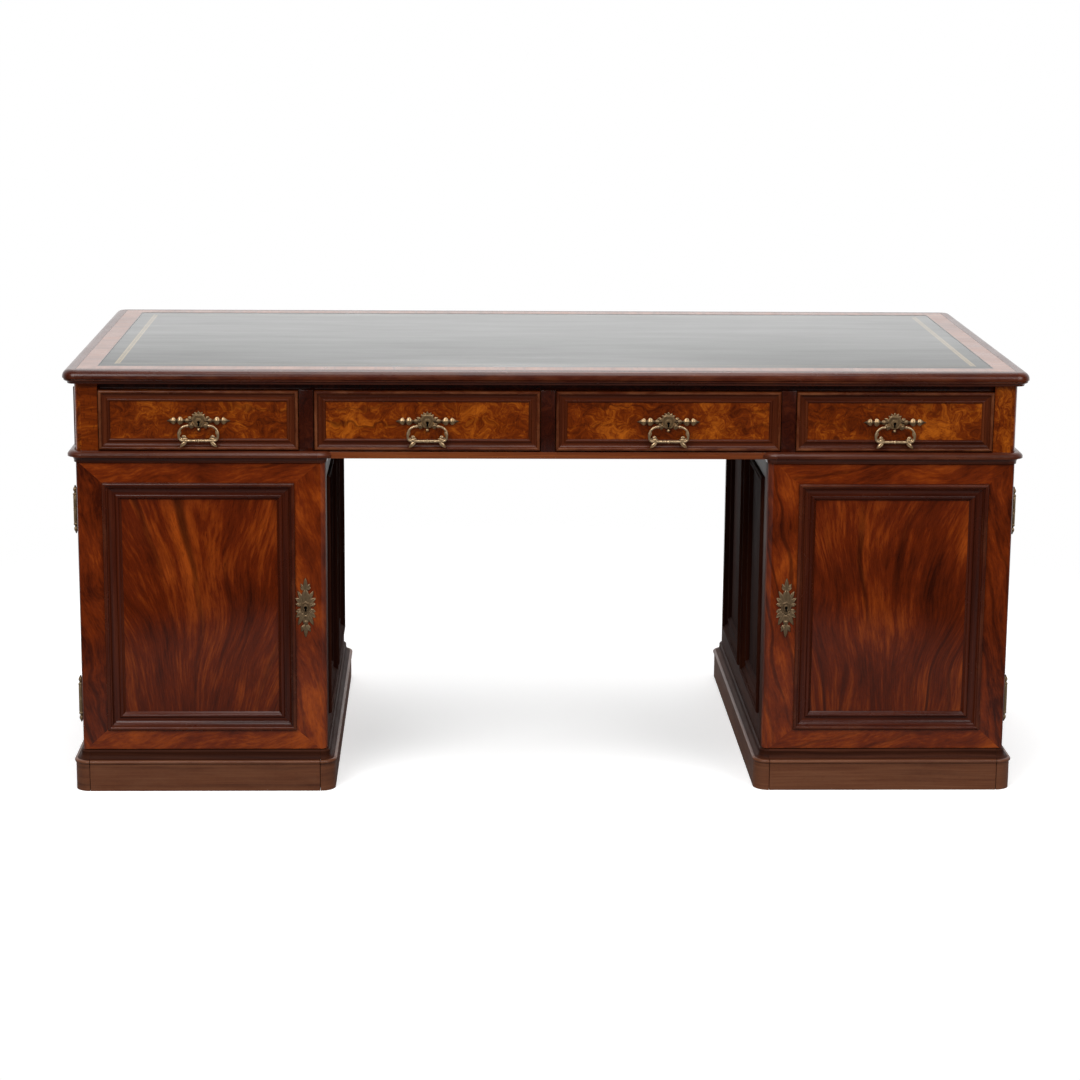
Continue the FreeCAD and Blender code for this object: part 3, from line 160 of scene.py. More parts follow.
@dataclass
class Surface:
    """A grid of points with the texture place and wear of each, closed round its columns.

    Its ends are capped, unless its last row joins its first one in a loop.
    """

    points: Array
    uv: Array
    wear: Array
    loop: bool = False

    def moved(self, place: Callable[[Array], Array]) -> "Surface":
        """The same surface with its points put elsewhere."""
        return Surface(place(self.points), self.uv, self.wear, self.loop)


EndCut = Callable[[Array], Array]


def square_end(across: Array) -> Array:
    """An end cut straight across."""
    return np.zeros_like(across)


def mitre(start: float = 0, slope: float = 1) -> EndCut:
    """An end cut that leaves the corner at start across the strip and runs inwards at a slope."""
    return lambda across: np.maximum(across - start, 0) * slope


def crest(section: Array) -> Array:
    """Wear of a section: 1 on what stands out most, and down a straight slope to 0 about half way in.

    Args:
        section: (n, 2) points, depth first.

    Returns:
        Wear of each point.
    """
    slope, start = 2.2, 1.2
    height = -section[:, 0]
    share = (height - height.min()) / max(np.ptp(height), TINY)
    return np.clip(share * slope - start, 0, 1)


def strip(section: Array, length: float, ends: tuple[EndCut, EndCut] = (square_end, square_end),
          wear: Optional[Array] = None) -> Surface:
    """Carry a closed section (depth, across) along X from -length/2 to length/2.

    The x of each end is half the length less that end's cut at the point's place across.

    Args:
        section: (n, 2) points, depth into the desk and distance across.
        length: length at the outer edge.
        ends: cut of the left and the right end.
        wear: wear of each point of the section.

    Returns:
        The closed surface, with texture u along the strip and v round the section.
    """
    depth, across = section.T
    if wear is None:
        wear = crest(section)
    turned = anticlockwise(section)
    if turned is not section:
        depth, across, wear = depth[::-1], across[::-1], wear[::-1]
    left, right = (sign * (length / 2 - cut(across)) for sign, cut in zip((-1, 1), ends))
    points = np.stack([np.stack([x, depth, across], -1) for x in (left, right)])
    round_v = perimeter(np.stack([depth, across], -1))
    along = np.concatenate([points[..., 0], points[:, :1, 0]], 1)
    uv = np.stack([along, np.broadcast_to(round_v, along.shape)], -1)
    return Surface(points, uv, np.stack([wear, wear]))


def turned_corner(section: Array, radius: float, steps: int = 8) -> Surface:
    """Turn a section (outwards, up) through a quarter about Z, from +X to +Y.

    Each point goes round a circle of the corner's radius plus its own distance outwards.

    Args:
        section: (n, 2) points, distance outwards and height.
        radius: the corner's radius.
        steps: steps in the quarter turn.

    Returns:
        The closed surface, with texture u along the turn and v round the section.
    """
    out, up = section.T
    flat = np.stack([-out, up], -1)
    turned = anticlockwise(flat)
    if turned is not flat:
        out, up, flat = out[::-1], up[::-1], turned
    angles = np.linspace(0, math.pi / 2, steps + 1)[:, None]
    reach = radius + out
    height = np.broadcast_to(up, (steps + 1, len(up)))
    points = np.stack([np.cos(angles) * reach, np.sin(angles) * reach, height], -1)
    along = angles * (radius + out.max())
    v = perimeter(flat)
    uv = np.stack(np.broadcast_arrays(along, v[None]), -1)
    wear = np.broadcast_to(crest(flat), points.shape[:2])
    return Surface(points, uv, wear)


def board(length: float, thickness: float, width: float, radius: float = EDGE, steps: int = 2) -> Surface:
    """A board along X with rounded edges: a smaller box with a small ball carried round its outside.

    Rows go from the left end to the right one. Each row is the inner rectangle, pushed out by the
    ball's radius times the cosine of the row's own angle.

    Args:
        length, thickness, width: outer sizes along x, y and z.
        radius: radius of the edges.
        steps: steps round an edge.

    Returns:
        The closed board, about its middle.
    """
    bend = np.linspace(0, math.pi / 2, steps + 1)
    tilt = np.concatenate([bend - math.pi / 2, bend])
    x = np.sign(np.arange(len(tilt)) - len(bend) + 0.5) * (length / 2 - radius) + radius * np.sin(tilt)
    quarter = np.arange(4)[:, None] * math.pi / 2
    around = (quarter + bend[None]).ravel()
    signs = np.array([[1, 1], [-1, 1], [-1, -1], [1, -1]]).repeat(steps + 1, 0)
    core = signs * np.array([thickness / 2 - radius, width / 2 - radius])
    push = radius * np.cos(tilt)[:, None, None] * np.stack([np.cos(around), np.sin(around)], -1)
    ring = core[None] + push
    points = np.concatenate([np.broadcast_to(x[:, None, None], ring.shape[:2] + (1,)), ring], -1)
    v = perimeter(ring[len(bend)])
    uv = np.stack(np.broadcast_arrays(x[:, None], v[None]), -1)
    worn_round = np.tile(np.sin(2 * bend), 4)
    wear = np.maximum(worn_round[None], (np.abs(np.sin(2 * tilt)))[:, None])
    return Surface(points, uv, wear)


def lathe(profile: Sequence[Point], squash: tuple[float, float] = (1, 1), lobes: tuple[int, float] = (0, 0),
          sides: int = 24) -> Surface:
    """Turn a profile (x along, radius), in millimetres, about X.

    Each ring is a circle of the profile's radius, squashed, and cut into by a cosine wave for its lobes.

    Args:
        profile: the turned outline.
        squash: how much the circle is narrowed in y and in z.
        lobes: number and depth of the waves that carving leaves round each ring.
        sides: points in each ring.

    Returns:
        The closed surface.
    """
    angles = np.linspace(0, 2 * math.pi, sides + 1)[:-1]
    x, r = outline(profile).T
    waves = 1 + lobes[1] * (np.cos(lobes[0] * angles) - 1)
    ring = np.stack([np.cos(angles) * squash[0], np.sin(angles) * squash[1]], -1) * waves[:, None]
    along = np.broadcast_to(x[:, None, None], (len(x), sides, 1))
    points = np.concatenate([along, r[:, None, None] * ring], -1)
    run = np.concatenate([[0], np.cumsum(np.hypot(np.diff(x), np.diff(r)))])
    turn = np.linspace(0, 2 * math.pi, sides + 1) * r.max()
    slope, start = 1.6, 0.5
    bulge = np.clip(r / max(r.max(), TINY) * slope - start, 0, 1)
    wear = np.broadcast_to(bulge[:, None], (len(x), sides))
    return Surface(points, np.stack(np.broadcast_arrays(run[:, None], turn[None]), -1), wear)


def tube(path: Array, radius: Array, sides: int = 14) -> Surface:
    """A round bar of changing radius along a path that lies in the XZ plane.

    The section's two directions are Y and the path's normal in the plane, found from its slope.

    Args:
        path: (n, 3) points of the middle line.
        radius: radius at each of them.
        sides: points in each ring.

    Returns:
        The closed bar, worn on its front.
    """
    slope = np.gradient(path, axis=0)
    slope /= np.linalg.norm(slope, axis=1, keepdims=True)
    normal = np.stack([-slope[:, 2], np.zeros(len(path)), slope[:, 0]], -1)
    angles = np.linspace(0, 2 * math.pi, sides + 1)[:-1]
    front_way = np.array([0, -1, 0])
    ring = np.cos(angles)[None, :, None] * normal[:, None] + np.sin(angles)[None, :, None] * front_way
    points = path[:, None] + radius[:, None, None] * ring
    run = np.concatenate([[0], np.cumsum(np.linalg.norm(np.diff(path, axis=0), axis=1))])
    turn = np.linspace(0, 2 * math.pi, sides + 1) * radius.max()
    front = np.broadcast_to(np.clip(np.sin(angles), 0, 1), points.shape[:2])
    return Surface(points, np.stack(np.broadcast_arrays(run[:, None], turn[None]), -1), front)


def leaf(length: float, width: float, height: float, rows: int = 9, sides: int = 12) -> Surface:
    """A pointed leaf along +X that stands out to -Y, with a sunk vein down its middle.

    Its half width is a flattened half sine of the way along, with the widest place nearer the root.
    Across it the height is a flattened half circle, less a narrow dip at the middle. The height also
    rises from root and tip to the middle of the leaf, as the root of a half sine.

    Args:
        length, width, height: its sizes.
        rows, sides: points along it and across it.

    Returns:
        The leaf, with its root at the origin and its back at y = 0.
    """
    first, last = 0.02, 0.995
    rootward, blunt, least = 0.8, 0.7, 0.02
    flatness, vein_depth, vein_half = 0.6, 0.45, 0.22
    end_lift = 0.35
    along = np.linspace(first, last, rows)
    half = width / 2 * np.sin(math.pi * along ** rootward) ** blunt + width * least
    turn = np.linspace(0, math.pi, sides)
    across = np.cos(turn)
    rise = np.sin(turn) ** flatness * (1 - vein_depth * np.exp(-(across / vein_half) ** 2))
    lift = height * (end_lift + (1 - end_lift) * np.sqrt(np.sin(math.pi * along)))
    z = half[:, None] * across[None]
    y = -lift[:, None] * rise[None]
    x = np.broadcast_to((along * length)[:, None], z.shape)
    points = np.stack([x, y, z], -1)
    v = np.concatenate([turn, [math.pi + 1]]) * width / 3
    uv = np.stack(np.broadcast_arrays((along * length)[:, None], v[None]), -1)
    return Surface(points, uv, np.broadcast_to(rise, z.shape))


def rosette(inner: Array, outer: Array, heights: Sequence[float], shares: Sequence[float]) -> Surface:
    """A plate with a hole: rings that pass from the hole's outline to the rim's, each at its own height.

    Args:
        inner: (n, 2) outline of the hole, x and z, anticlockwise from +x.
        outer: (n, 2) outline of the rim, with as many points.
        heights: how far each ring stands out to -Y.
        shares: each ring's place between the outlines, 0 at the hole and 1 at the rim.

    Returns:
        The surface, closed at the back between its first and last ring.
    """
    texture_width = 0.02
    share = np.array(shares)[:, None, None]
    flat = inner[None] * (1 - share) + outer[None] * share
    y = np.broadcast_to(-np.array(heights)[:, None], flat.shape[:2])
    points = np.stack([flat[..., 0], y, flat[..., 1]], -1)[:, ::-1]
    ring = np.arange(len(inner) + 1) * MM
    uv = np.stack(np.broadcast_arrays(np.array(shares)[:, None] * texture_width, ring[None]), -1)
    wear = np.broadcast_to(np.array(heights)[:, None] / max(heights), flat.shape[:2])
    return Surface(points, uv, wear[:, ::-1], loop=True)


def spread(path: Array, count: int) -> Array:
    """Points at even distances along a path.

    Args:
        path: (n, 2) points.
        count: how many points are wanted.

    Returns:
        The new points, on the straight lines between the old ones.
    """
    run = np.concatenate([[0], np.cumsum(np.linalg.norm(np.diff(path, axis=0), axis=1))])
    wanted = np.linspace(0, run[-1], count)
    return np.stack([np.interp(wanted, run, axis) for axis in path.T], -1)


def swell(place: Array, centre: float, reach: float) -> Array:
    """A smooth rise of height 1 round a centre: half a cosine wave to each side."""
    return 0.5 + 0.5 * np.cos(math.pi * np.clip((place - centre) / reach, -1, 1))


def keyhole(points: int, pin: float, slot: float, drop: float) -> Array:
    """Outline of a keyhole: for each angle the further of a round eye and a slot that hangs below it.

    Args:
        points: how many points it has.
        pin: radius of the eye.
        slot: width of the slot.
        drop: how far the slot reaches below the eye's middle.

    Returns:
        (n, 2) points, x and z, anticlockwise from +x.
    """
    angle = np.linspace(0, 2 * math.pi, points + 1)[:-1]
    c, s = np.cos(angle), np.sin(angle)
    below = np.minimum(slot / 2 / np.maximum(np.abs(c), TINY), drop / np.maximum(-s, TINY))
    reach = np.where(s < 0, np.maximum(pin, below), pin)
    return np.stack([c * reach, s * reach], -1)


# Pieces

class Piece:
    """One named piece of the desk: surfaces gathered into a mesh that rides on a CAD body."""

    count = 0

    def __init__(self, name: str) -> None:
        """Start an empty piece.

        Args:
            name: the piece's name.
        """
        self.name = name
        self.points: list[Array] = []
        self.faces: list[list[int]] = []
        self.uv: list[Array] = []
        self.wear: list[Array] = []
        self.tone: list[Array] = []
        self.total = 0

    def add(self, surface: Surface, grain: float = 0, tone: float = 0) -> None:
        """Add a surface as its own closed shell.

        Args:
            surface: the grid of points.
            grain: degrees by which its texture is turned, so that the figure runs across a board.
            tone: how much lighter than the rest its wood is.
        """
        rows, cols = surface.points.shape[:2]
        Piece.count += 1
        shift = Piece.count * VENEER_STEP % 1 * VENEER_REACH
        turned = surface.uv @ about_z(grain)[:2, :2].T + shift
        i, j = np.meshgrid(np.arange(rows if surface.loop else rows - 1), np.arange(cols), indexing="ij")
        corner_rows = np.stack([i, i, i + 1, i + 1], -1).reshape(-1, 4) % rows
        corner_cols = np.stack([j, j + 1, j + 1, j], -1).reshape(-1, 4)
        quads = self.total + corner_rows * cols + corner_cols % cols
        self.faces += quads.tolist()
        self.uv.append(turned[corner_rows, corner_cols].reshape(-1, 2))
        if not surface.loop:
            ends = ((0, np.arange(cols)[::-1]), (rows - 1, np.arange(cols)))
            for row, order in ends:
                self.faces.append((self.total + row * cols + order).tolist())
                self.uv.append(turned[row, order])
        self.points.append(surface.points.reshape(-1, 3))
        self.wear.append(surface.wear.reshape(-1))
        self.tone.append(np.full(rows * cols, tone))
        self.total += rows * cols

    def finish(self, finish: "Finish", body: str, replaces: Sequence[str] = ()) -> None:
        """Make the object, dress it and let it ride.

        Args:
            finish: what it is made of.
            body: the CAD body that it moves with.
            replaces: CAD nodes that it stands for.
        """
        mesh = bpy.data.meshes.new(self.name)
        mesh.from_pydata(np.concatenate(self.points).tolist(), [], self.faces)
        layer = mesh.uv_layers.new(name="UVMap")
        layer.data.foreach_set("uv", np.concatenate(self.uv).astype(np.float32).ravel())
        for label, values in (("wear", self.wear), ("tone", self.tone)):
            layer = mesh.attributes.new(label, "FLOAT", "POINT")
            layer.data.foreach_set("value", np.concatenate(values).astype(np.float32))
        mesh.polygons.foreach_set("use_smooth", np.ones(len(mesh.polygons), bool))
        mesh.set_sharp_from_angle(angle=SHARP_ANGLE)
        item = bpy.data.objects.new(self.name, mesh)
        bpy.context.scene.collection.objects.link(item)
        mesh.materials.append(finish.material())
        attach(item, body)
        if replaces:
            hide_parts(*replaces)
        log.info("%s: %d faces on %s", self.name, len(mesh.polygons), body)


# Finishes

MIX_COLOURS, MIX_RESULT = (6, 7), 2  # sockets of a mix node that hold colours


class Graph:
    """A material's node tree, with short calls for the nodes that the finishes share."""

    def __init__(self, name: str) -> None:
        """Start a material with a shader and nothing else.

        Args:
            name: the material's name.
        """
        self.material = bpy.data.materials.new(name)
        self.material.use_nodes = True
        self.tree = self.material.node_tree
        self.shader = self.tree.nodes["Principled BSDF"]

    def new(self, kind: str, inputs: dict[Any, Any], **settings: Any) -> bpy.types.Node:
        """Add a node, set what it does and fill its sockets with values or links.

        Args:
            kind: the node's type, without the words that all types start with.
            inputs: values or links by socket.
            settings: the node's own settings.

        Returns:
            The node.
        """
        node = self.tree.nodes.new("ShaderNode" + kind)
        for key, value in settings.items():
            setattr(node, key, value)
        for key, value in inputs.items():
            self.plug(node.inputs[key], value)
        return node

    def plug(self, socket: Socket, value: Any) -> None:
        """Link a socket to a node's output, or set it to a constant.

        Args:
            socket: what is filled.
            value: an output or a constant.
        """
        if isinstance(value, Socket):
            self.tree.links.new(value, socket)
        else:
            socket.default_value = value

    def math(self, operation: str, *values: Any, clamp: bool = False) -> Socket:
        """One step of arithmetic."""
        return self.new("Math", dict(enumerate(values)), operation=operation, use_clamp=clamp).outputs[0]

    def stretch(self, vector: Any, scale: Sequence[float]) -> Socket:
        """Scale a place by axis."""
        return self.new("VectorMath", {0: vector, 1: (*scale, 1)[:3]}, operation="MULTIPLY").outputs[0]

    def noise(self, vector: Any, scale: Sequence[float], detail: float, rough: float,
              out: str = "Fac") -> Socket:
        """Cloudy noise, stretched by axis.

        Args:
            vector: where on the piece a point lies.
            scale: features in a metre, by axis.
            detail: how many finer layers it has.
            rough: how much each finer layer weighs.
            out: "Fac" for a number, "Color" for three.

        Returns:
            The noise, about 0.5.
        """
        inputs = {"Vector": self.stretch(vector, scale), "Scale": 1.0, "Detail": detail, "Roughness": rough}
        return self.new("TexNoise", inputs).outputs[out]

    def ramp(self, value: Any, stops: Sequence[tuple[float, Sequence[float]]]) -> Socket:
        """Colours along a value.

        Args:
            value: what the colours follow.
            stops: place and colour of each stop.

        Returns:
            The colour.
        """
        node = self.new("ValToRGB", {0: value})
        points = node.color_ramp.elements
        for _ in stops[2:]:
            points.new(0.5)
        for point, (place, colour) in zip(points, stops):
            point.position = place
            point.color = (*colour, 1)
        return node.outputs[0]

    def band(self, value: Any, low: float, high: float) -> Socket:
        """0 below low, 1 above high, and a straight slope between."""
        return self.new("MapRange", {0: value, 1: low, 2: high}).outputs[0]

    def mix(self, share: Any, first: Any, second: Any) -> Socket:
        """Two colours mixed.

        Args:
            share: how much of the second one shows.
            first, second: the colours.

        Returns:
            The mixed colour.
        """
        node = self.new("Mix", {0: share}, data_type="RGBA")
        for socket, colour in zip(MIX_COLOURS, (first, second)):
            self.plug(node.inputs[socket], colour)
        return node.outputs[MIX_RESULT]

    def attribute(self, name: str) -> Socket:
        """A number stored on the mesh."""
        return self.new("Attribute", {}, attribute_name=name).outputs["Fac"]

    def place(self) -> Socket:
        """Where on the piece a point lies."""
        return self.new("TexCoord", {}).outputs["Object"]

    def bump(self, height: Any, strength: float, distance: float) -> None:
        """Raise the surface by a height."""
        inputs = {"Height": height, "Strength": strength, "Distance": distance}
        self.plug(self.shader.inputs["Normal"], self.new("Bump", inputs).outputs[0])

    def set(self, **values: Any) -> None:
        """Fill the shader's own sockets: words are joined by an underscore."""
        for key, value in values.items():
            self.plug(self.shader.inputs[key.replace("_", " ")], value)


@dataclass(frozen=True)
class Finish:
    """A finish that belongs to one of the record's slots, and is made once."""

    name: str
    slot: str

    def material(self) -> bpy.types.Material:
        """The finish's material."""
        found = bpy.data.materials.get(self.name)
        return found or self.build(Graph(self.name))

    def build(self, graph: Graph) -> bpy.types.Material:
        """Fill the node tree."""
        raise NotImplementedError


@dataclass(frozen=True)
class GrainScale:
    """A figure's features: how often they come in a metre, along the grain and across it.

    The warp is how far the grain wanders, in metres. About half as many veins as the number says come in
    a metre. The shares say how much clouds, streaks and fine lines show.
    """

    warp: float
    swirl: tuple[float, float]
    cloud: tuple[float, float]
    streak: tuple[float, float]
    fine: tuple[float, float]
    vein: float
    shares: tuple[float, float, float] = (0.40, 0.36, 0.24)


class Figure(Enum):
    """Ways in which walnut was cut for this desk."""

    STRAIGHT = GrainScale(0.012, (3, 9), (1.5, 14), (3, 130), (8, 420), 60)
    FLAME = GrainScale(0.075, (4, 9), (4, 11), (7, 110), (30, 420), 64, (0.48, 0.30, 0.22))
    CURLY = GrainScale(0.050, (9, 13), (7, 13), (14, 64), (60, 260), 56, (0.48, 0.32, 0.20))
    BURR = GrainScale(0.05, (34, 34), (12, 12), (75, 75), (260, 260), 60)


class Lay(Enum):
    """Where the grain runs: by the piece's own texture places, or along one of the desk's directions."""

    PIECE = None
    ALONG_X = (0, 1)
    ALONG_Y = (1, 0)


SHADE_PLACES = (0.37, 0.5, 0.63)  # where in the figure's tone the dark, middle and light shades lie
VEIN_DIVISOR = 6.3  # turns a figure's vein number into the wave's scale
VEIN_SHADE, PORE_SHADE = 0.45, 0.25  # how dark veins and pores are, as shares of the dark shade
PORE_SHARE = 0.4  # how much the pores show
STREAK_RELIEF = 0.35  # height of the streaks, as a share of the pores' depth
SMEAR_SPREAD = 0.2  # how much the roughness changes from spot to spot
DULL_ROUGHNESS = 0.6  # how much rougher a dull edge is


@dataclass(frozen=True)
class Wood(Finish):
    """Polished wood: warped noise for the figure, dark veins, pores, and worn edges.

    The shades are its dark, middle and light wood. A feather is a crotch figure's middle line, as a
    distance from the desk's middle, and the slope of its streaks. Between the two distances of `dull`
    from the desk's middle the polish comes back that nearer ones lack.
    """

    shades: tuple[Colour, Colour, Colour]
    figure: Figure
    worn: Colour = (0.20, 0.085, 0.035)
    wear: float = 0.35
    vein: float = 0.45
    rough: float = 0.30
    coat: float = 0.3
    specular: float = 0.5
    feather: Optional[tuple[float, float]] = None
    lay: Lay = Lay.PIECE
    turned: Optional[float] = None
    dull: Optional[tuple[float, float]] = None

    def laid(self, graph: Graph) -> Socket:
        """Where a point lies on square-cut boards whose grain runs along X or Y.

        Along the grain lies that direction. Across it lies the other level direction plus the height, so
        the grain shows on level and on upright faces. Behind the depth `turned` stand boards that run
        the other way, with the height alone across them.

        Args:
            graph: the node tree.

        Returns:
            The place along and across the grain.
        """
        along, other = self.lay.value
        place = graph.new("SeparateXYZ", {0: graph.place()}).outputs
        length, across = place[along], graph.math("ADD", place[other], place[2])
        if self.turned is not None:
            behind = graph.math("GREATER_THAN", place[1], self.turned)
            length = graph.math("MULTIPLY_ADD", graph.math("SUBTRACT", place[other], length), behind, length)
            across = graph.math("MULTIPLY_ADD", graph.math("SUBTRACT", place[2], across), behind, across)
        return graph.new("CombineXYZ", {0: length, 1: across}).outputs[0]

    def feathered(self, graph: Graph) -> Socket:
        """Where a point lies in a crotch figure, whose streaks part from a middle line as they rise.

        Along the grain lies the height. Across it lies the distance from the middle line, less a share of
        the height that grows from nothing at the line to its full slope further out. Each side of the
        desk has a slice of its own.

        Args:
            graph: the node tree.

        Returns:
            The place along and across the grain.
        """
        centre, slope = self.feather
        parting, slice_step = 5.0, 3.7
        split = graph.new("SeparateXYZ", {0: graph.place()}).outputs
        away = graph.math("SUBTRACT", graph.math("ABSOLUTE", split[0]), centre)
        leaning = graph.math("TANH", graph.math("MULTIPLY", away, parting))
        across = graph.math("MULTIPLY_ADD", graph.math("MULTIPLY", leaning, split[2]), -slope, away)
        side = graph.math("MULTIPLY", graph.math("SIGN", split[0]), slice_step)
        return graph.new("CombineXYZ", {0: split[2], 1: across, 2: side}).outputs[0]

    def on_grain(self, graph: Graph) -> Socket:
        """Where a point lies, along the grain and across it.

        Args:
            graph: the node tree.

        Returns:
            The place, as the feather or the lay gives it, or else the piece's own.
        """
        if self.feather:
            return self.feathered(graph)
        if self.lay is not Lay.PIECE:
            return self.laid(graph)
        return graph.new("UVMap", {}, uv_map="UVMap").outputs[0]

    def wandered(self, graph: Graph, uv: Socket) -> Socket:
        """The same place, moved to and fro by a slow noise, so that the grain wanders.

        Args:
            graph: the node tree.
            uv: the place along and across the grain.

        Returns:
            The moved place.
        """
        grain: GrainScale = self.figure.value
        swirl = graph.noise(uv, grain.swirl, detail=1, rough=0.5, out="Color")
        centred = graph.new("VectorMath", {0: swirl, 1: (0.5, 0.5, 0.5)}, operation="SUBTRACT").outputs[0]
        warp = graph.stretch(centred, (grain.warp,) * 3)
        return graph.new("VectorMath", {0: uv, 1: warp}, operation="ADD").outputs[0]

    def darkened(self, share: float) -> tuple[float, ...]:
        """A share of the darkest shade."""
        return *(value * share for value in self.shades[0]), 1

    def figured(self, graph: Graph, bent: Socket, streak: Socket) -> Socket:
        """Colour of the figure: clouds, streaks and fine lines added up, with dark veins in patches.

        Args:
            graph: the node tree.
            bent: the place on wandering grain.
            streak: noise that is drawn out along it.

        Returns:
            The colour.
        """
        grain: GrainScale = self.figure.value
        cloud = graph.noise(bent, grain.cloud, detail=3, rough=0.5)
        fine = graph.noise(bent, grain.fine, detail=3, rough=0.6)
        tone = graph.attribute("tone")
        for value, share in zip((cloud, streak, fine), grain.shares):
            tone = graph.math("MULTIPLY_ADD", value, share, tone)
        colour = graph.ramp(tone, list(zip(SHADE_PLACES, self.shades)))
        wave = graph.new("TexWave", {"Vector": bent, "Scale": grain.vein / VEIN_DIVISOR, "Distortion": 1.6,
                                     "Detail": 2.0, "Detail Scale": 0.6}, bands_direction="Y").outputs["Fac"]
        patches = graph.band(graph.noise(bent, (3, 9), detail=2, rough=0.5), low=0.42, high=0.62)
        lines = graph.math("MULTIPLY", graph.band(wave, low=0.88, high=0.99), patches)
        return graph.mix(graph.math("MULTIPLY", lines, self.vein), colour, self.darkened(VEIN_SHADE))

    def polish(self, graph: Graph, uv: Socket) -> tuple[Any, Any]:
        """Roughness, which changes from spot to spot, and coat. Both are duller where `dull` says so.

        Args:
            graph: the node tree.
            uv: the place along and across the grain.

        Returns:
            Roughness and weight of the coat.
        """
        smears = graph.noise(uv, (9, 16), detail=4, rough=0.6)
        rough = graph.math("MULTIPLY_ADD", smears, SMEAR_SPREAD, self.rough - SMEAR_SPREAD / 2)
        if not self.dull:
            return rough, self.coat
        from_middle = graph.math("ABSOLUTE", graph.new("SeparateXYZ", {0: graph.place()}).outputs[0])
        polished = graph.band(from_middle, *self.dull)
        rough = graph.math("MULTIPLY_ADD", graph.math("SUBTRACT", 1.0, polished), DULL_ROUGHNESS, rough)
        return rough, graph.math("MULTIPLY", polished, self.coat)

    def build(self, graph: Graph) -> bpy.types.Material:
        """Fill the node tree.

        Args:
            graph: the node tree.

        Returns:
            The material.
        """
        uv = self.on_grain(graph)
        bent = self.wandered(graph, uv)
        streak = graph.noise(bent, self.figure.value.streak, detail=7, rough=0.62)
        colour = self.figured(graph, bent, streak)
        pores = graph.band(graph.noise(uv, (110, 2400), detail=1, rough=0.5), low=0.58, high=0.72)
        colour = graph.mix(graph.math("MULTIPLY", pores, PORE_SHARE), colour, self.darkened(PORE_SHADE))
        scuff = graph.band(graph.noise(uv, (14, 40), detail=5, rough=0.7), low=0.42, high=0.68)
        worn = graph.math("MULTIPLY", graph.math("MULTIPLY", graph.attribute("wear"), scuff), self.wear)
        colour = graph.mix(worn, colour, (*self.worn, 1))
        rough, coat = self.polish(graph, uv)
        graph.set(Base_Color=colour, Roughness=rough, IOR=1.5, Specular_IOR_Level=self.specular,
                  Coat_Weight=coat, Coat_Roughness=0.14)
        relief = graph.math("MULTIPLY_ADD", pores, -1.0, graph.math("MULTIPLY", streak, STREAK_RELIEF))
        graph.bump(relief, strength=0.16, distance=0.0002)
        return graph.material


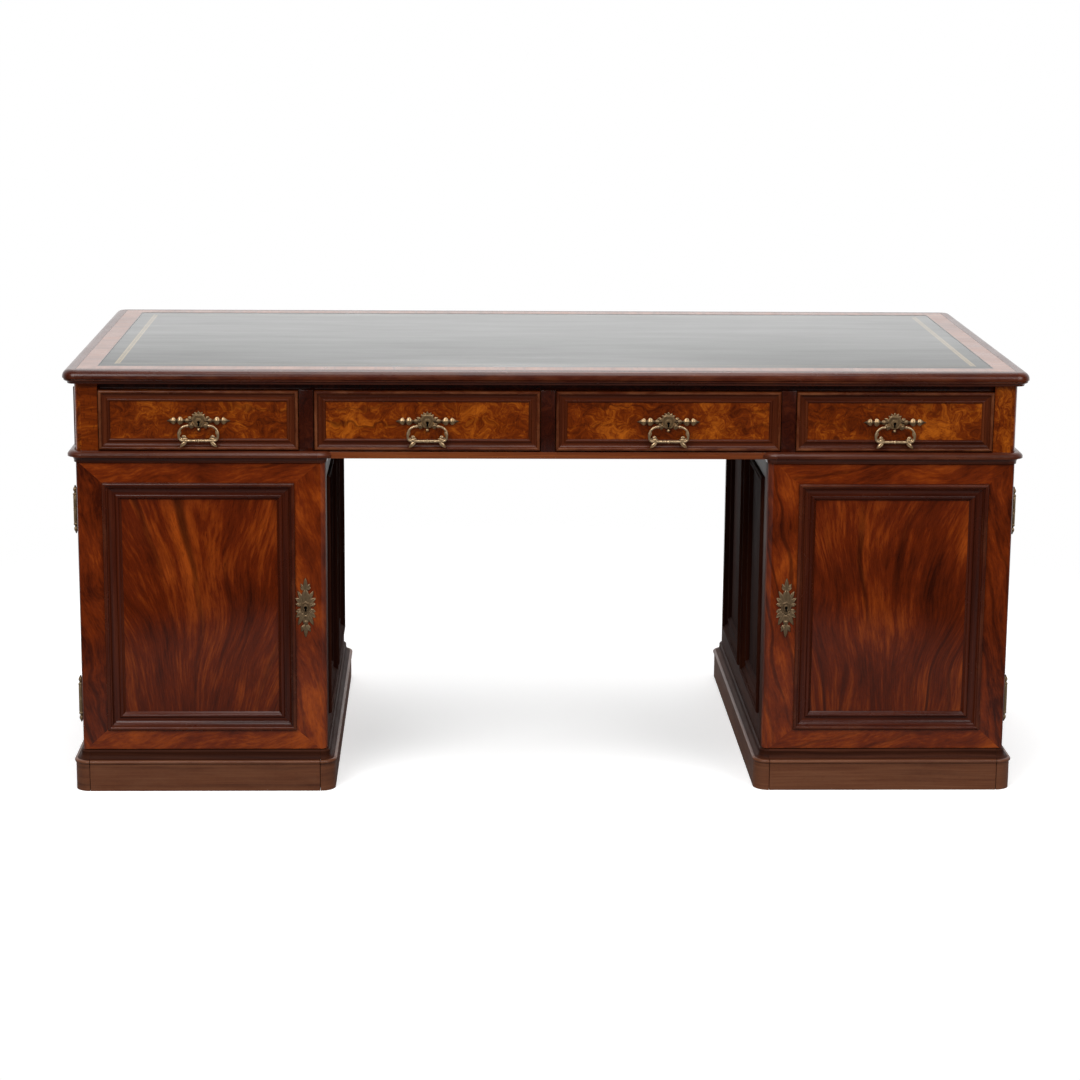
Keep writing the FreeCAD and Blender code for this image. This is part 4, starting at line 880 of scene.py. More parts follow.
@dataclass(frozen=True)
class Leather(Finish):
    """Old black-green leather with a gold tooled band, and a blind line inside it.

    The band's gold is mostly rubbed away: a share of it is left along the front and the back, and more
    at the ends.
    """

    half: tuple[float, float] = (0.810, 0.365)
    band_edge: float = 0.026
    band_width: float = 0.009
    motif: float = 0.024
    vine_half: float = 0.0011
    vine_swing: float = 0.26
    bud_radius: float = 0.0021
    bud_reach: float = 0.9
    bud_divisor: float = 7
    rule_half: float = 0.0008
    blind_line: float = 0.052
    blind_half: float = 0.0009
    gold_left: float = 0.12
    gold_more: float = 0.48
    gold_shine: float = 0.6
    gold: Colour = (0.54, 0.40, 0.21)
    hide: tuple[Colour, Colour] = ((0.016, 0.018, 0.016), (0.034, 0.036, 0.033))
    hide_places: tuple[float, float] = (0.35, 0.65)
    scuffed: Colour = (0.07, 0.065, 0.06)
    scuff_share: float = 0.35
    scuff_rough: float = 0.12
    rough_least: float = 0.36
    rough_spread: float = 0.16
    wax_least: float = 0.25
    wax_spread: float = 1.1
    scratch_loss: float = 0.4
    pressed_depth: float = 1.5

    def near(self, graph: Graph, value: Socket, place: Any, half: float) -> Socket:
        """1 where a value lies within half a width of a place, else 0."""
        return graph.math("LESS_THAN", graph.math("ABSOLUTE", graph.math("SUBTRACT", value, place)), half)

    def tooled(self, graph: Graph, inset: Socket, along: Socket) -> Socket:
        """The tooled band: two rules, a vine between them that is a sine, and a bud opposite each bend.

        A bud is a circle whose distance along the edge is taken from the sine's own cosine.

        Args:
            graph: the node tree.
            inset: distance from the leather's edge.
            along: distance along that edge.

        Returns:
            1 on the tooling, else 0.
        """
        turn = graph.math("MULTIPLY", along, 2 * math.pi / self.motif)
        middle = graph.math("SUBTRACT", inset, self.band_edge + self.band_width / 2)
        wave = graph.math("MULTIPLY", graph.math("SINE", turn), self.band_width * self.vine_swing)
        vine = self.near(graph, middle, wave, self.vine_half)
        bud_side = graph.math("ADD", middle, graph.math("MULTIPLY", wave, self.bud_reach))
        bud_way = graph.math("MULTIPLY", graph.math("COSINE", turn), self.motif / self.bud_divisor)
        bud_square = graph.math("ADD", *(graph.math("POWER", way, 2.0) for way in (bud_side, bud_way)))
        bud = graph.math("LESS_THAN", bud_square, self.bud_radius ** 2)
        from_middle = graph.math("ABSOLUTE", middle)
        rules = self.near(graph, from_middle, self.band_width / 2 - self.rule_half, self.rule_half)
        return graph.math("MAXIMUM", rules, graph.math("MAXIMUM", vine, bud))

    def build(self, graph: Graph) -> bpy.types.Material:
        """Fill the node tree.

        Args:
            graph: the node tree.

        Returns:
            The material.
        """
        place = graph.place()
        split = graph.new("SeparateXYZ", {0: place}).outputs
        inset_x, inset_y = (graph.math("SUBTRACT", half, graph.math("ABSOLUTE", axis))
                            for half, axis in zip(self.half, split))
        inset = graph.math("MINIMUM", inset_x, inset_y)
        at_ends = graph.math("LESS_THAN", inset_x, inset_y)
        along = graph.math("ADD", graph.math("MULTIPLY", split[1], at_ends),
                           graph.math("MULTIPLY", split[0], graph.math("SUBTRACT", 1.0, at_ends)))
        tooled = self.tooled(graph, inset, along)
        rubbed = graph.band(graph.noise(place, (60, 60, 60), detail=6, rough=0.7), low=0.30, high=0.42)
        left = graph.math("MULTIPLY_ADD", at_ends, self.gold_more, self.gold_left)
        gold = graph.math("MULTIPLY", tooled, graph.math("MULTIPLY", rubbed, left))
        cloud = graph.noise(place, (3, 5, 3), detail=5, rough=0.6)
        hide = graph.ramp(cloud, list(zip(self.hide_places, self.hide)))
        scuff = graph.band(graph.noise(place, (7, 30, 7), detail=8, rough=0.75), low=0.60, high=0.72)
        hide = graph.mix(graph.math("MULTIPLY", scuff, self.scuff_share), hide, (*self.scuffed, 1))
        rough = graph.math("MULTIPLY_ADD", cloud, self.rough_spread, self.rough_least)
        graph.set(Base_Color=graph.mix(gold, hide, (*self.gold, 1)), IOR=1.5,
                  Metallic=graph.math("MULTIPLY", gold, self.gold_shine),
                  Roughness=graph.math("MULTIPLY_ADD", scuff, self.scuff_rough, rough),
                  Coat_Weight=self.waxed(graph, place), Coat_Roughness=0.40,
                  Sheen_Weight=0.25, Sheen_Roughness=0.4)
        grain = graph.new("TexVoronoi", {"Vector": place, "Scale": 620.0}, feature="SMOOTH_F1")
        pressed = graph.math("MAXIMUM", self.near(graph, inset, self.blind_line, self.blind_half), tooled)
        relief = graph.math("MULTIPLY_ADD", pressed, -self.pressed_depth, grain.outputs["Distance"])
        graph.bump(relief, strength=0.30, distance=0.0003)
        return graph.material

    def waxed(self, graph: Graph, place: Socket) -> Socket:
        """Weight of the wax: brushed on along the desk, and broken by fine scratches.

        Args:
            graph: the node tree.
            place: where on the leather a point lies.

        Returns:
            The weight, 0 to 1.
        """
        brushed = graph.noise(place, (3.5, 22, 4), detail=6, rough=0.65)
        scratch = graph.band(graph.noise(place, (9, 160, 9), detail=4, rough=0.6), low=0.66, high=0.76)
        coat = graph.math("MULTIPLY_ADD", brushed, self.wax_spread, self.wax_least)
        return graph.math("MULTIPLY_ADD", scratch, -self.scratch_loss, coat, clamp=True)


@dataclass(frozen=True)
class Metal(Finish):
    """Aged metal: bright where hands rub it, dark and rough in its hollows."""

    bright: Colour
    dull: Colour
    rough: float = 0.34
    rougher: float = 0.28
    wear_share: float = 0.75
    patina_share: float = 0.5
    spot_share: float = 0.2

    def build(self, graph: Graph) -> bpy.types.Material:
        """Fill the node tree.

        Args:
            graph: the node tree.

        Returns:
            The material.
        """
        place = graph.place()
        patina = graph.noise(place, (160, 160, 160), detail=6, rough=0.65)
        spots = graph.noise(place, (900, 900, 900), detail=3, rough=0.6)
        rubbed = graph.math("MULTIPLY", patina, self.patina_share)
        rubbed = graph.math("MULTIPLY_ADD", graph.attribute("wear"), self.wear_share, rubbed)
        share = graph.band(graph.math("MULTIPLY_ADD", spots, self.spot_share, rubbed), low=0.35, high=1.0)
        tarnished = graph.math("SUBTRACT", 1.0, share)
        graph.set(Base_Color=graph.mix(share, (*self.dull, 1), (*self.bright, 1)), Metallic=0.85,
                  Roughness=graph.math("MULTIPLY_ADD", tarnished, self.rougher, self.rough))
        graph.bump(graph.math("ADD", patina, spots), strength=0.12, distance=0.0004)
        return graph.material


@dataclass(frozen=True)
class Finishes:
    """Every finish on the desk."""

    leather: Finish = Leather("old_leather", "leather")
    border: Finish = Wood(
        "crossbanded_border", "border_walnut",
        ((0.10, 0.032, 0.016), (0.19, 0.066, 0.034), (0.28, 0.11, 0.06)), Figure.STRAIGHT,
        wear=0.2, specular=0.42)
    string: Finish = Wood(
        "dark_stringing", "border_walnut",
        ((0.008, 0.004, 0.003), (0.012, 0.006, 0.004), (0.02, 0.01, 0.006)), Figure.STRAIGHT, wear=0)
    moulding: Finish = Wood(
        "moulding_walnut_polish", "moulding_walnut",
        ((0.028, 0.004, 0.001), (0.056, 0.008, 0.002), (0.098, 0.018, 0.005)), Figure.STRAIGHT,
        worn=(0.17, 0.048, 0.016), rough=0.26, coat=0.14, specular=0.3)
    # Its lighter worn colour on the beads' crests is partly rubbed wear and partly a painted highlight.
    drawer_moulding: Finish = replace(
        moulding, name="drawer_moulding_polish",
        shades=((0.036, 0.006, 0.002), (0.072, 0.013, 0.003), (0.12, 0.026, 0.007)),
        worn=(0.25, 0.085, 0.032), wear=0.6, coat=0.05, specular=0.22)
    cap: Finish = Wood(
        "shaded_moulding_polish", "moulding_walnut",
        ((0.020, 0.004, 0.002), (0.038, 0.009, 0.003), (0.065, 0.017, 0.007)), Figure.STRAIGHT,
        worn=(0.07, 0.022, 0.010), wear=0.15, rough=0.58, coat=0, specular=0.08)
    waist: Finish = Wood(
        "waist_polish", "moulding_walnut",
        ((0.034, 0.006, 0.002), (0.070, 0.014, 0.005), (0.115, 0.027, 0.010)), Figure.STRAIGHT,
        worn=(0.15, 0.045, 0.018), coat=0.12, specular=0.3)
    plinth: Finish = Wood(
        "plinth_walnut_polish", "moulding_walnut",
        ((0.075, 0.020, 0.008), (0.140, 0.044, 0.017), (0.21, 0.078, 0.034)), Figure.STRAIGHT,
        worn=(0.18, 0.070, 0.032), wear=0.5, rough=0.42, coat=0.1, specular=0.3)
    frame: Finish = Wood(
        "frame_veneer", "frame_walnut",
        ((0.045, 0.005, 0.0005), (0.155, 0.020, 0.0015), (0.34, 0.060, 0.004)), Figure.CURLY,
        vein=0.6, rough=0.16, coat=0.2, specular=0.35, dull=(0.4055, 0.412))
    muntin: Finish = Wood(
        "muntin_veneer", "frame_walnut",
        ((0.016, 0.002, 0.0004), (0.033, 0.004, 0.0008), (0.070, 0.011, 0.002)), Figure.BURR,
        rough=0.24, coat=0.1, specular=0.3)
    rail: Finish = Wood(
        "rail_walnut", "frame_walnut",
        ((0.085, 0.015, 0.003), (0.16, 0.033, 0.006), (0.245, 0.062, 0.012)), Figure.STRAIGHT,
        coat=0.15, specular=0.35)
    burr: Finish = Wood(
        "burr_veneer", "panel_walnut",
        ((0.042, 0.005, 0.0004), (0.155, 0.023, 0.0008), (0.40, 0.094, 0.0042)), Figure.BURR,
        vein=0.5, rough=0.16, coat=0.18, specular=0.35)
    panel: Finish = Wood(
        "flame_veneer", "panel_walnut",
        ((0.036, 0.004, 0.0004), (0.120, 0.015, 0.0012), (0.30, 0.056, 0.004)), Figure.FLAME,
        vein=0.5, rough=0.16, coat=0.2, specular=0.4)
    door: Finish = Wood(
        "crotch_veneer", "panel_walnut",
        ((0.034, 0.004, 0.0004), (0.112, 0.013, 0.0010), (0.29, 0.050, 0.004)), Figure.FLAME,
        vein=0.75, rough=0.16, coat=0.15, specular=0.32, feather=(0.62, 0.29))
    side: Finish = Wood(
        "side_walnut_polish", "side_walnut",
        ((0.040, 0.006, 0.001), (0.105, 0.017, 0.002), (0.20, 0.042, 0.006)), Figure.FLAME, coat=0.4)
    # Darker copy of the side walnut for the faces towards the knee hole: painted shade.
    knee: Finish = Wood(
        "knee_hole_painted_shade", "side_walnut",
        ((0.014, 0.002, 0.001), (0.030, 0.006, 0.002), (0.052, 0.012, 0.004)), Figure.STRAIGHT,
        worn=(0.06, 0.02, 0.01), rough=0.75, coat=0, specular=0.05)
    # Painted shade for the knee hole's frames, a little lighter and glossier than its panels.
    knee_frame: Finish = replace(
        knee, name="knee_hole_frame_painted_shade",
        shades=((0.025, 0.004, 0.0015), (0.050, 0.010, 0.003), (0.080, 0.019, 0.005)),
        rough=0.52, specular=0.16)
    oak: Finish = Wood(
        "aged_oak", "drawer_oak",
        ((0.17, 0.085, 0.035), (0.27, 0.15, 0.068), (0.36, 0.22, 0.11)), Figure.STRAIGHT,
        worn=(0.42, 0.28, 0.15), rough=0.6, coat=0, vein=0.2)
    front: Finish = replace(burr, name="drawer_burr_veneer", lay=Lay.ALONG_X)
    drawer_oak: Finish = replace(oak, name="drawer_oak_boards", lay=Lay.ALONG_Y, turned=0.1625)
    shelf_oak: Finish = replace(oak, name="shelf_oak_boards", lay=Lay.ALONG_X)
    brass: Finish = Metal("aged_brass", "brass", (0.44, 0.29, 0.15), (0.085, 0.052, 0.028))
    rubbed_brass: Finish = Metal("rubbed_brass", "brass", (0.60, 0.42, 0.24), (0.10, 0.062, 0.034))
    dull_brass: Finish = Metal("dull_brass", "brass", (0.30, 0.20, 0.11), (0.055, 0.036, 0.022), 0.4)
    # Its tarnished colour is lifted above the other brass's: painted light for hinges that mirror the dark
    # front.
    hinge_brass: Finish = Metal("hinge_brass", "brass", (0.36, 0.25, 0.14), (0.16, 0.105, 0.06), 0.45)
    # Near-black finish for the plate behind each keyhole: painted shade in the hole.
    black: Finish = Metal("painted_shade_black", "lock_iron", (0.010, 0.009, 0.008), (0.004, 0.004, 0.004), 0.6)
    iron: Finish = Metal("lock_metal", "lock_iron", (0.32, 0.28, 0.22), (0.15, 0.13, 0.11), 0.4)


FINISH = Finishes()


def dress(item: bpy.types.Object, finish: Finish) -> None:
    """Give a CAD node a finish.

    Args:
        item: the node.
        finish: what it is made of.
    """
    item.data.materials.clear()
    item.data.materials.append(finish.material())
    log.info("%s: dressed with %s", item.name, finish.name)


# Sections of the mouldings and posts, in millimetres

BEAD_RADIUS = 0.52  # as a share of the bead's width


def half_round(width: float) -> float:
    """Radius of a bead a little flatter than a half circle."""
    return width * BEAD_RADIUS


PANEL_MOULD = outline([(0, 0), (-3, 0), (-3, 7, half_round(7)), (-1.5, 7), (-1.5, 9.333), (5.5, 22, -11.58),
                       (5.5, 29, half_round(7)), (9.5, 33), (10, 33), (10, 9), (0, 9)])
DRAWER_MOULD = outline([(0, 0), (-4.5, 0), (-4.5, 6, half_round(6)), (-3.5, 6), (-3.5, 7), (-1.2, 15, -7.49),
                        (-1.2, 20, half_round(5)), (0, 21)])
EDGE_MOULD = outline([(0.3, 782), (12, 782), (25, 769, 13), (25, 767), (21, 767), (21, 762, half_round(5)),
                      (16, 757, -5), (0.3, 757)])
WAIST_MOULD = outline([(0, 634.2), (2, 634.2), (15, 628, 11.52), (15, 624), (13, 624), (4, 615, -9), (4, 613),
                       (0, 613)])
KNEE_MOULD = outline([(0, 620.4), (5.9, 620.4), (4, 615, -9), (4, 613), (0, 613)])
PLINTH_FLAT = outline([(-10, 0), (15, 0), (15, 51), (15, 58, -half_round(7)), (-10, 58)])
PLINTH_CAP = outline([(-10, 58), (12.5, 58), (4.5, 68, 9.6), (4.5, 72.5), (2, 75), (-10, 75)])
POST = outline([(12, 0), (42, 0), (42, 42), (0, 42), (0, 12), (12, 0, -12)])[:-1]


def panel_moulding(piece: Piece, face: Face, section: Array, centre: float, bottom: float, width: float,
                   height: float) -> None:
    """Four mitred lengths round a panel.

    Args:
        piece: what they are added to.
        face: where they are set.
        section: their section, depth and distance inwards.
        centre, bottom, width, height: the frame's outer edge on the face.
    """
    ends = (mitre(), mitre())
    middle = bottom + height / 2
    places = ((width, centre, bottom, 0), (width, centre, bottom + height, 180),
              (height, centre - width / 2, middle, 90), (height, centre + width / 2, middle, -90))
    for length, x, z, spin in places:
        piece.add(strip(section, length, ends).moved(lambda points: face.set(points, x, 0, z, spin)))


def moulded_ring(piece: Piece, section: Array, low: Point, high: Point, radius: float, joint: float = 0.0001,
                 other: Optional[dict[int, Array]] = None) -> None:
    """Lengths and turned corners of a moulding round a rectangle, with joints between them.

    Args:
        piece: what they are added to.
        section: distance outwards and height.
        low, high: corners of the rectangle.
        radius: radius of the rectangle's own corners.
        joint: width of a joint.
        other: sections of the straight lengths, by quarter, that differ from the rest.
    """
    low, high = np.array(low), np.array(high)
    middle = (low + high) / 2
    signs = np.array([[1, 0], [0, 1], [-1, 0], [0, -1]])
    corner_signs = np.array([[1, 1], [-1, 1], [-1, -1], [1, -1]])
    for quarter in range(4):
        half = (high - low) / 2
        length = 2 * half[1 - quarter % 2] - 2 * radius - 2 * joint
        spot = np.append(middle + signs[quarter] * half, 0)
        turn = about_z(90 * quarter + 90)
        run = (other or {}).get(quarter, section)
        flat = np.stack([-run[:, 0], run[:, 1]], -1)
        piece.add(strip(flat, length).moved(lambda points: points @ turn.T + spot))
        hub = np.append(middle + corner_signs[quarter] * (half - radius), 0)
        corner_turn = about_z(90 * quarter)
        piece.add(turned_corner(section, radius).moved(lambda points: points @ corner_turn.T + hub))


def slab(piece: Piece, face: Face, low: Point, high: Point, upright: bool = False,
         radius: float = EDGE) -> None:
    """A board between two corners in a face's own directions, its grain along or up the face.

    Args:
        piece: what it is added to.
        face: where it is set.
        low, high: its corners.
        upright: whether its grain runs up.
        radius: radius of its edges.
    """
    low, high = np.array(low), np.array(high)
    size = high - low
    middle = (low + high) / 2
    length, width = (size[2], size[0]) if upright else (size[0], size[2])
    shape = board(length, size[1], width, radius)
    piece.add(shape.moved(lambda points: face.set(points, *middle, 90 if upright else 0)))


# The desk's sub-assemblies, and the sizes that they share

CASE_HALF_WIDTH = 0.850
CASE_HALF_DEPTH = 0.405
FIELD_Y = -0.402  # front of the drawers' veneered fields
MOULD_LOW, MOULD_HEIGHT = 0.6357, 0.1086  # of the mouldings on drawers and frieze


@dataclass(frozen=True)
class Top:
    """Leather, crossbanded border and moulded edge of the top."""

    half_width: float = 0.845
    half_depth: float = 0.400
    border: float = 0.035
    underside: float = 0.757
    veneer: float = 0.7801
    level: float = 0.782
    leather_level: float = 0.7816
    string_width: float = 0.0014
    string_sink: float = 0.00005
    core_edge: float = 0.0004
    leather_edge: float = 0.0005

    def build(self) -> None:
        """Make and dress the top."""
        ground = Face(0, 0, 0)
        core = Piece("top_core")
        slab(core, ground, (-self.half_width, -self.half_depth, self.underside),
             (self.half_width, self.half_depth, self.veneer), radius=self.core_edge)
        core.finish(FINISH.oak, "desk")
        self.border_bands()
        hide = Piece("leather_sheet")
        hide.add(self.hide())
        hide.finish(FINISH.leather, "desk", ["writing_leather"])
        edge = Piece("top_edge")
        moulded_ring(edge, EDGE_MOULD, (-self.half_width, -self.half_depth),
                     (self.half_width, self.half_depth), radius=0)
        edge.finish(FINISH.moulding, "desk", ["top_edge_moulding"])

    def border_bands(self) -> None:
        """Four mitred bands of crossbanding, and a dark string at their inner edge."""
        bands, string = Piece("top_border"), Piece("top_string")
        band_width = self.border - self.string_width
        for piece, start, width, top, grain in (
                (bands, 0, band_width, self.level, 90),
                (string, band_width, self.string_width, self.level - self.string_sink, 0)):
            for quarter in range(4):
                along, edge = (self.half_width, self.half_depth)[::-1 if quarter % 2 else 1]
                section = np.array([[start, self.veneer], [start + width, self.veneer], [start + width, top],
                                    [start, top]])
                flat = np.stack([section[:, 1] - self.level, section[:, 0]], -1)
                shape = strip(flat, 2 * along, (mitre(), mitre()), np.zeros(len(flat)))
                turn = about_z(90 * quarter)

                def lay(points: Array) -> Array:
                    """Lay the strip flat: depth goes down from the top, across goes inwards."""
                    level = np.stack([points[..., 0], points[..., 2] - edge, self.level + points[..., 1]], -1)
                    return level @ turn.T

                piece.add(shape.moved(lay), grain)
        bands.finish(FINISH.border, "desk", ["top_board"])
        string.finish(FINISH.string, "desk")

    def hide(self) -> Surface:
        """The leather: a closed sheet whose edge is turned down a little.

        Returns:
            The sheet, in its place on the desk.
        """
        half_x, half_y = self.half_width - self.border, self.half_depth - self.border
        shape = board(2 * half_x, 2 * half_y, self.leather_level - self.veneer, self.leather_edge)
        middle = (self.leather_level + self.veneer) / 2
        return shape.moved(lambda points: points + np.array([0, 0, middle]))


@dataclass(frozen=True)
class Frieze:
    """Frame round the drawers, and the boards at the ends and back of the top section."""

    half_width: float = CASE_HALF_WIDTH
    half_depth: float = CASE_HALF_DEPTH
    low: float = 0.6205
    high: float = 0.757
    post: float = 0.042
    board: float = 0.020
    rail_depth: float = 0.060
    upper_rail_front: float = 0.009
    muntin: float = 0.026
    muntins: tuple[float, ...] = (-0.435, 0, 0.435)
    opening: tuple[float, float] = (0.633, 0.7455)
    mortise: tuple[float, float] = (0.013, 0.021)
    mortise_half: float = 0.009
    openings: tuple[tuple[float, float], ...] = ((-0.628, 0.360), (-0.2175, 0.409),
                                                 (0.2175, 0.409), (0.628, 0.360))

    def build(self) -> None:
        """Make and dress the frieze."""
        front = Face(0, -self.half_depth, 0)
        posts = Piece("frieze_posts")
        upright = np.array([[0, 0, 1], [0, 1, 0], [1, 0, 0]])
        post = strip(POST[:, ::-1], self.high - self.low, wear=np.zeros(len(POST)))
        flipped = Surface(post.points[:, ::-1], post.uv[:, ::-1], post.wear[:, ::-1])
        for quarter, (x, y) in enumerate(((-1, -1), (1, -1), (1, 1), (-1, 1))):
            spot = np.array([x * self.half_width, y * self.half_depth, (self.high + self.low) / 2])
            turn = about_z(90 * quarter)
            posts.add(flipped.moved(lambda points: points @ upright.T @ turn.T + spot))
        posts.finish(FINISH.burr, "desk", ["frieze_front_frame"])
        inner = self.half_width - self.post
        rails = Piece("frieze_rails")
        slab(rails, front, (-inner, 0, self.low), (inner, self.rail_depth, self.opening[0]))
        rails.finish(FINISH.rail, "desk", ["frieze_front_frame"])
        # The rail above the drawers shares the muntins' dark burr: painted shade under the top's overhang.
        muntins = Piece("frieze_muntins_and_shaded_rail")
        self.upper_rail(muntins, front, inner)
        for x in self.muntins:
            slab(muntins, front, (x - self.muntin / 2, 0, self.opening[0]),
                 (x + self.muntin / 2, self.board, self.opening[1]), upright=True)
        muntins.finish(FINISH.muntin, "desk", ["frieze_front_frame"])
        self.outer_boards(inner)

    def upper_rail(self, piece: Piece, face: Face, inner: float) -> None:
        """The rail above the drawers, built up round a mortise for each drawer's bolt.

        Args:
            piece: what it is added to.
            face: the frieze's front.
            inner: distance from the middle to a post.
        """
        # This rail is dressed with the muntins' dark finish as painted shade under the top.
        front, rear = (self.upper_rail_front, self.mortise[0]), (self.mortise[1], self.rail_depth)
        sides = [centre + sign * self.mortise_half for centre, _ in self.openings for sign in (-1, 1)]
        edges = [-inner, *sides, inner]
        runs = [(front, -inner, inner), (rear, -inner, inner)]
        runs += [(self.mortise, start, stop) for start, stop in zip(edges[::2], edges[1::2])]
        for (near, far), start, stop in runs:
            slab(piece, face, (start, near, self.opening[1]), (stop, far, self.high), radius=FINE_EDGE)

    def outer_boards(self, inner: float) -> None:
        """Boards at the ends and back with their applied mouldings.

        Args:
            inner: distance from the middle to a post.
        """
        boards, mouldings = Piece("frieze_boards"), Piece("frieze_mouldings")
        reach = self.half_depth - self.post
        for sign in (-1, 1):
            end = Face(sign * self.half_width, 0, 0, sign)
            slab(boards, end, (-reach, 0, self.low), (reach, self.board, self.high))
            panel_moulding(mouldings, end, DRAWER_MOULD, 0, MOULD_LOW, 2 * reach, MOULD_HEIGHT)
        rear = Face(0, self.half_depth, 0, 2)
        slab(boards, rear, (-inner, 0, self.low), (inner, self.board, self.high))
        for centre, width in self.openings:
            panel_moulding(mouldings, rear, DRAWER_MOULD, centre, MOULD_LOW, width, MOULD_HEIGHT)
        boards.finish(FINISH.burr, "desk", ["frieze_ends_and_back"])
        mouldings.finish(FINISH.moulding, "desk", ["frieze_ends_and_back"])


@dataclass(frozen=True)
class Pocket:
    """A mortise in the back of a stile: which stile, its depth, its place from the edge, and its heights."""

    sign: int
    depth: float = 0.0145
    inset: tuple[float, float] = (0.0014, 0.0094)
    low: float = 0.277
    high: float = 0.295
    edge: float = 0.0004


@dataclass(frozen=True)
class PanelFrame:
    """A frame of stiles, rails and muntins, with its panels and their mouldings."""

    name: str
    face: Face
    body: str
    width: float
    height: float
    stiles: tuple[float, float]
    rail: float
    muntin: float = 0.0
    count: int = 1
    radii: tuple[float, float] = (EDGE, EDGE)
    mitred: bool = False
    thickness: float = 0.024
    bevel: float = 0.0005
    tongue: float = 0.006
    lap: float = 0.009
    sink: float = 0.0101
    panel: float = 0.0078
    lean: float = 0
    pocket: Optional[Pocket] = None
    tones: tuple[float, float, float, float] = (0, 0, 0, 0)

    def members(self, piece: Piece) -> None:
        """Stiles, rails and muntins, butted as joinery is, or mitred as veneer is.

        Args:
            piece: what they are added to.
        """
        inner = self.width - sum(self.stiles)
        shift = (self.stiles[0] - self.stiles[1]) / 2
        for sign, wide, radius, tone in zip((-1, 1), self.stiles, self.radii, self.tones):
            if self.pocket and self.pocket.sign == sign:
                self.pocketed(piece, sign, wide)
                continue
            cut = mitre(radius, self.rail / (wide - radius)) if self.mitred else square_end
            section = self.section(wide, radius)
            shape = strip(section, self.height, (cut, cut), np.zeros(len(section)))
            place = (sign * self.width / 2, 0, self.height / 2, -90 * sign)
            piece.add(shape.moved(lambda points: self.face.set(points, *place)), self.lean, tone)
        for sign, tone in zip((-1, 1), self.tones[2:]):
            if self.mitred:
                left, right = ((wide - radius) / self.rail for wide, radius in zip(self.stiles, self.radii))
                length = self.width - sum(self.radii)
                middle = (self.radii[0] - self.radii[1]) / 2
                cuts = (mitre(0, left), mitre(0, right))
            else:
                length, middle, cuts = inner, shift, (square_end, square_end)
            spin, z = (0, 0) if sign < 0 else (180, self.height)
            section = self.section(self.rail, EDGE)
            shape = strip(section, length, cuts[::-sign], np.zeros(len(section)))
            piece.add(shape.moved(lambda points: self.face.set(points, middle, 0, z, spin)), self.lean, tone)
        for x in self.muntin_places():
            slab(piece, self.face, (x - self.muntin / 2, 0, self.rail),
                 (x + self.muntin / 2, self.thickness, self.height - self.rail), upright=True)

    def pocketed(self, piece: Piece, sign: int, wide: float) -> None:
        """A stile with a mortise from behind: a front layer, and boards round the mortise behind it.

        Args:
            piece: what it is added to.
            sign: -1 for the left stile, 1 for the right one.
            wide: its width.
        """
        hole = self.pocket
        edge, near, far = (sign * (self.width / 2 - inset) for inset in (0, *hole.inset))
        inner = sign * (self.width / 2 - wide)
        front, rear = (0, hole.depth), (hole.depth, self.thickness)
        layers = ((edge, inner, front, 0, self.height), (edge, inner, rear, 0, hole.low),
                  (edge, inner, rear, hole.high, self.height), (edge, near, rear, hole.low, hole.high),
                  (far, inner, rear, hole.low, hole.high))
        for first, last, (start, stop), low, high in layers:
            left, right = sorted((first, last))
            slab(piece, self.face, (left, start, low), (right, stop, high), True, hole.edge)

    def section(self, wide: float, radius: float) -> Array:
        """Section of a member, as depth and distance inwards: outer edge rounded, inner edge bevelled.

        Its back has a point level with the rounding's end, where a mitre starts, and one by its outer edge.

        Args:
            wide: the member's width.
            radius: radius of its outer edge.

        Returns:
            (n, 2) points.
        """
        w, t, r, e = (size / MM for size in (wide, self.thickness, radius, self.bevel))
        level, outer = max(r, 1), 0.1
        return outline([(t, 0), (r, 0), (0, r, r), (0, w - e), (e, w), (t, w), (t, level), (t, outer)])

    def opening(self) -> float:
        """Width of one panel's opening."""
        return (self.width - sum(self.stiles) - self.muntin * (self.count - 1)) / self.count

    def centres(self) -> list[float]:
        """Middle of each opening along the face."""
        first = self.stiles[0] - self.width / 2 + self.opening() / 2
        return [first + (self.opening() + self.muntin) * index for index in range(self.count)]

    def muntin_places(self) -> list[float]:
        """Middle of each muntin along the face."""
        return [centre + (self.opening() + self.muntin) / 2 for centre in self.centres()[:-1]]

    def panels(self, piece: Piece) -> None:
        """The floating panels.

        Args:
            piece: what they are added to.
        """
        for x in self.centres():
            half = self.opening() / 2 + self.tongue
            slab(piece, self.face, (x - half, self.sink, self.rail - self.tongue),
                 (x + half, self.sink + self.panel, self.height - self.rail + self.tongue), upright=True)

    def mouldings(self, piece: Piece) -> None:
        """A mitred moulding round each panel.

        Args:
            piece: what they are added to.
        """
        for x in self.centres():
            panel_moulding(piece, self.face, PANEL_MOULD, x, self.rail - self.lap,
                           self.opening() + 2 * self.lap, self.height - 2 * self.rail + 2 * self.lap)


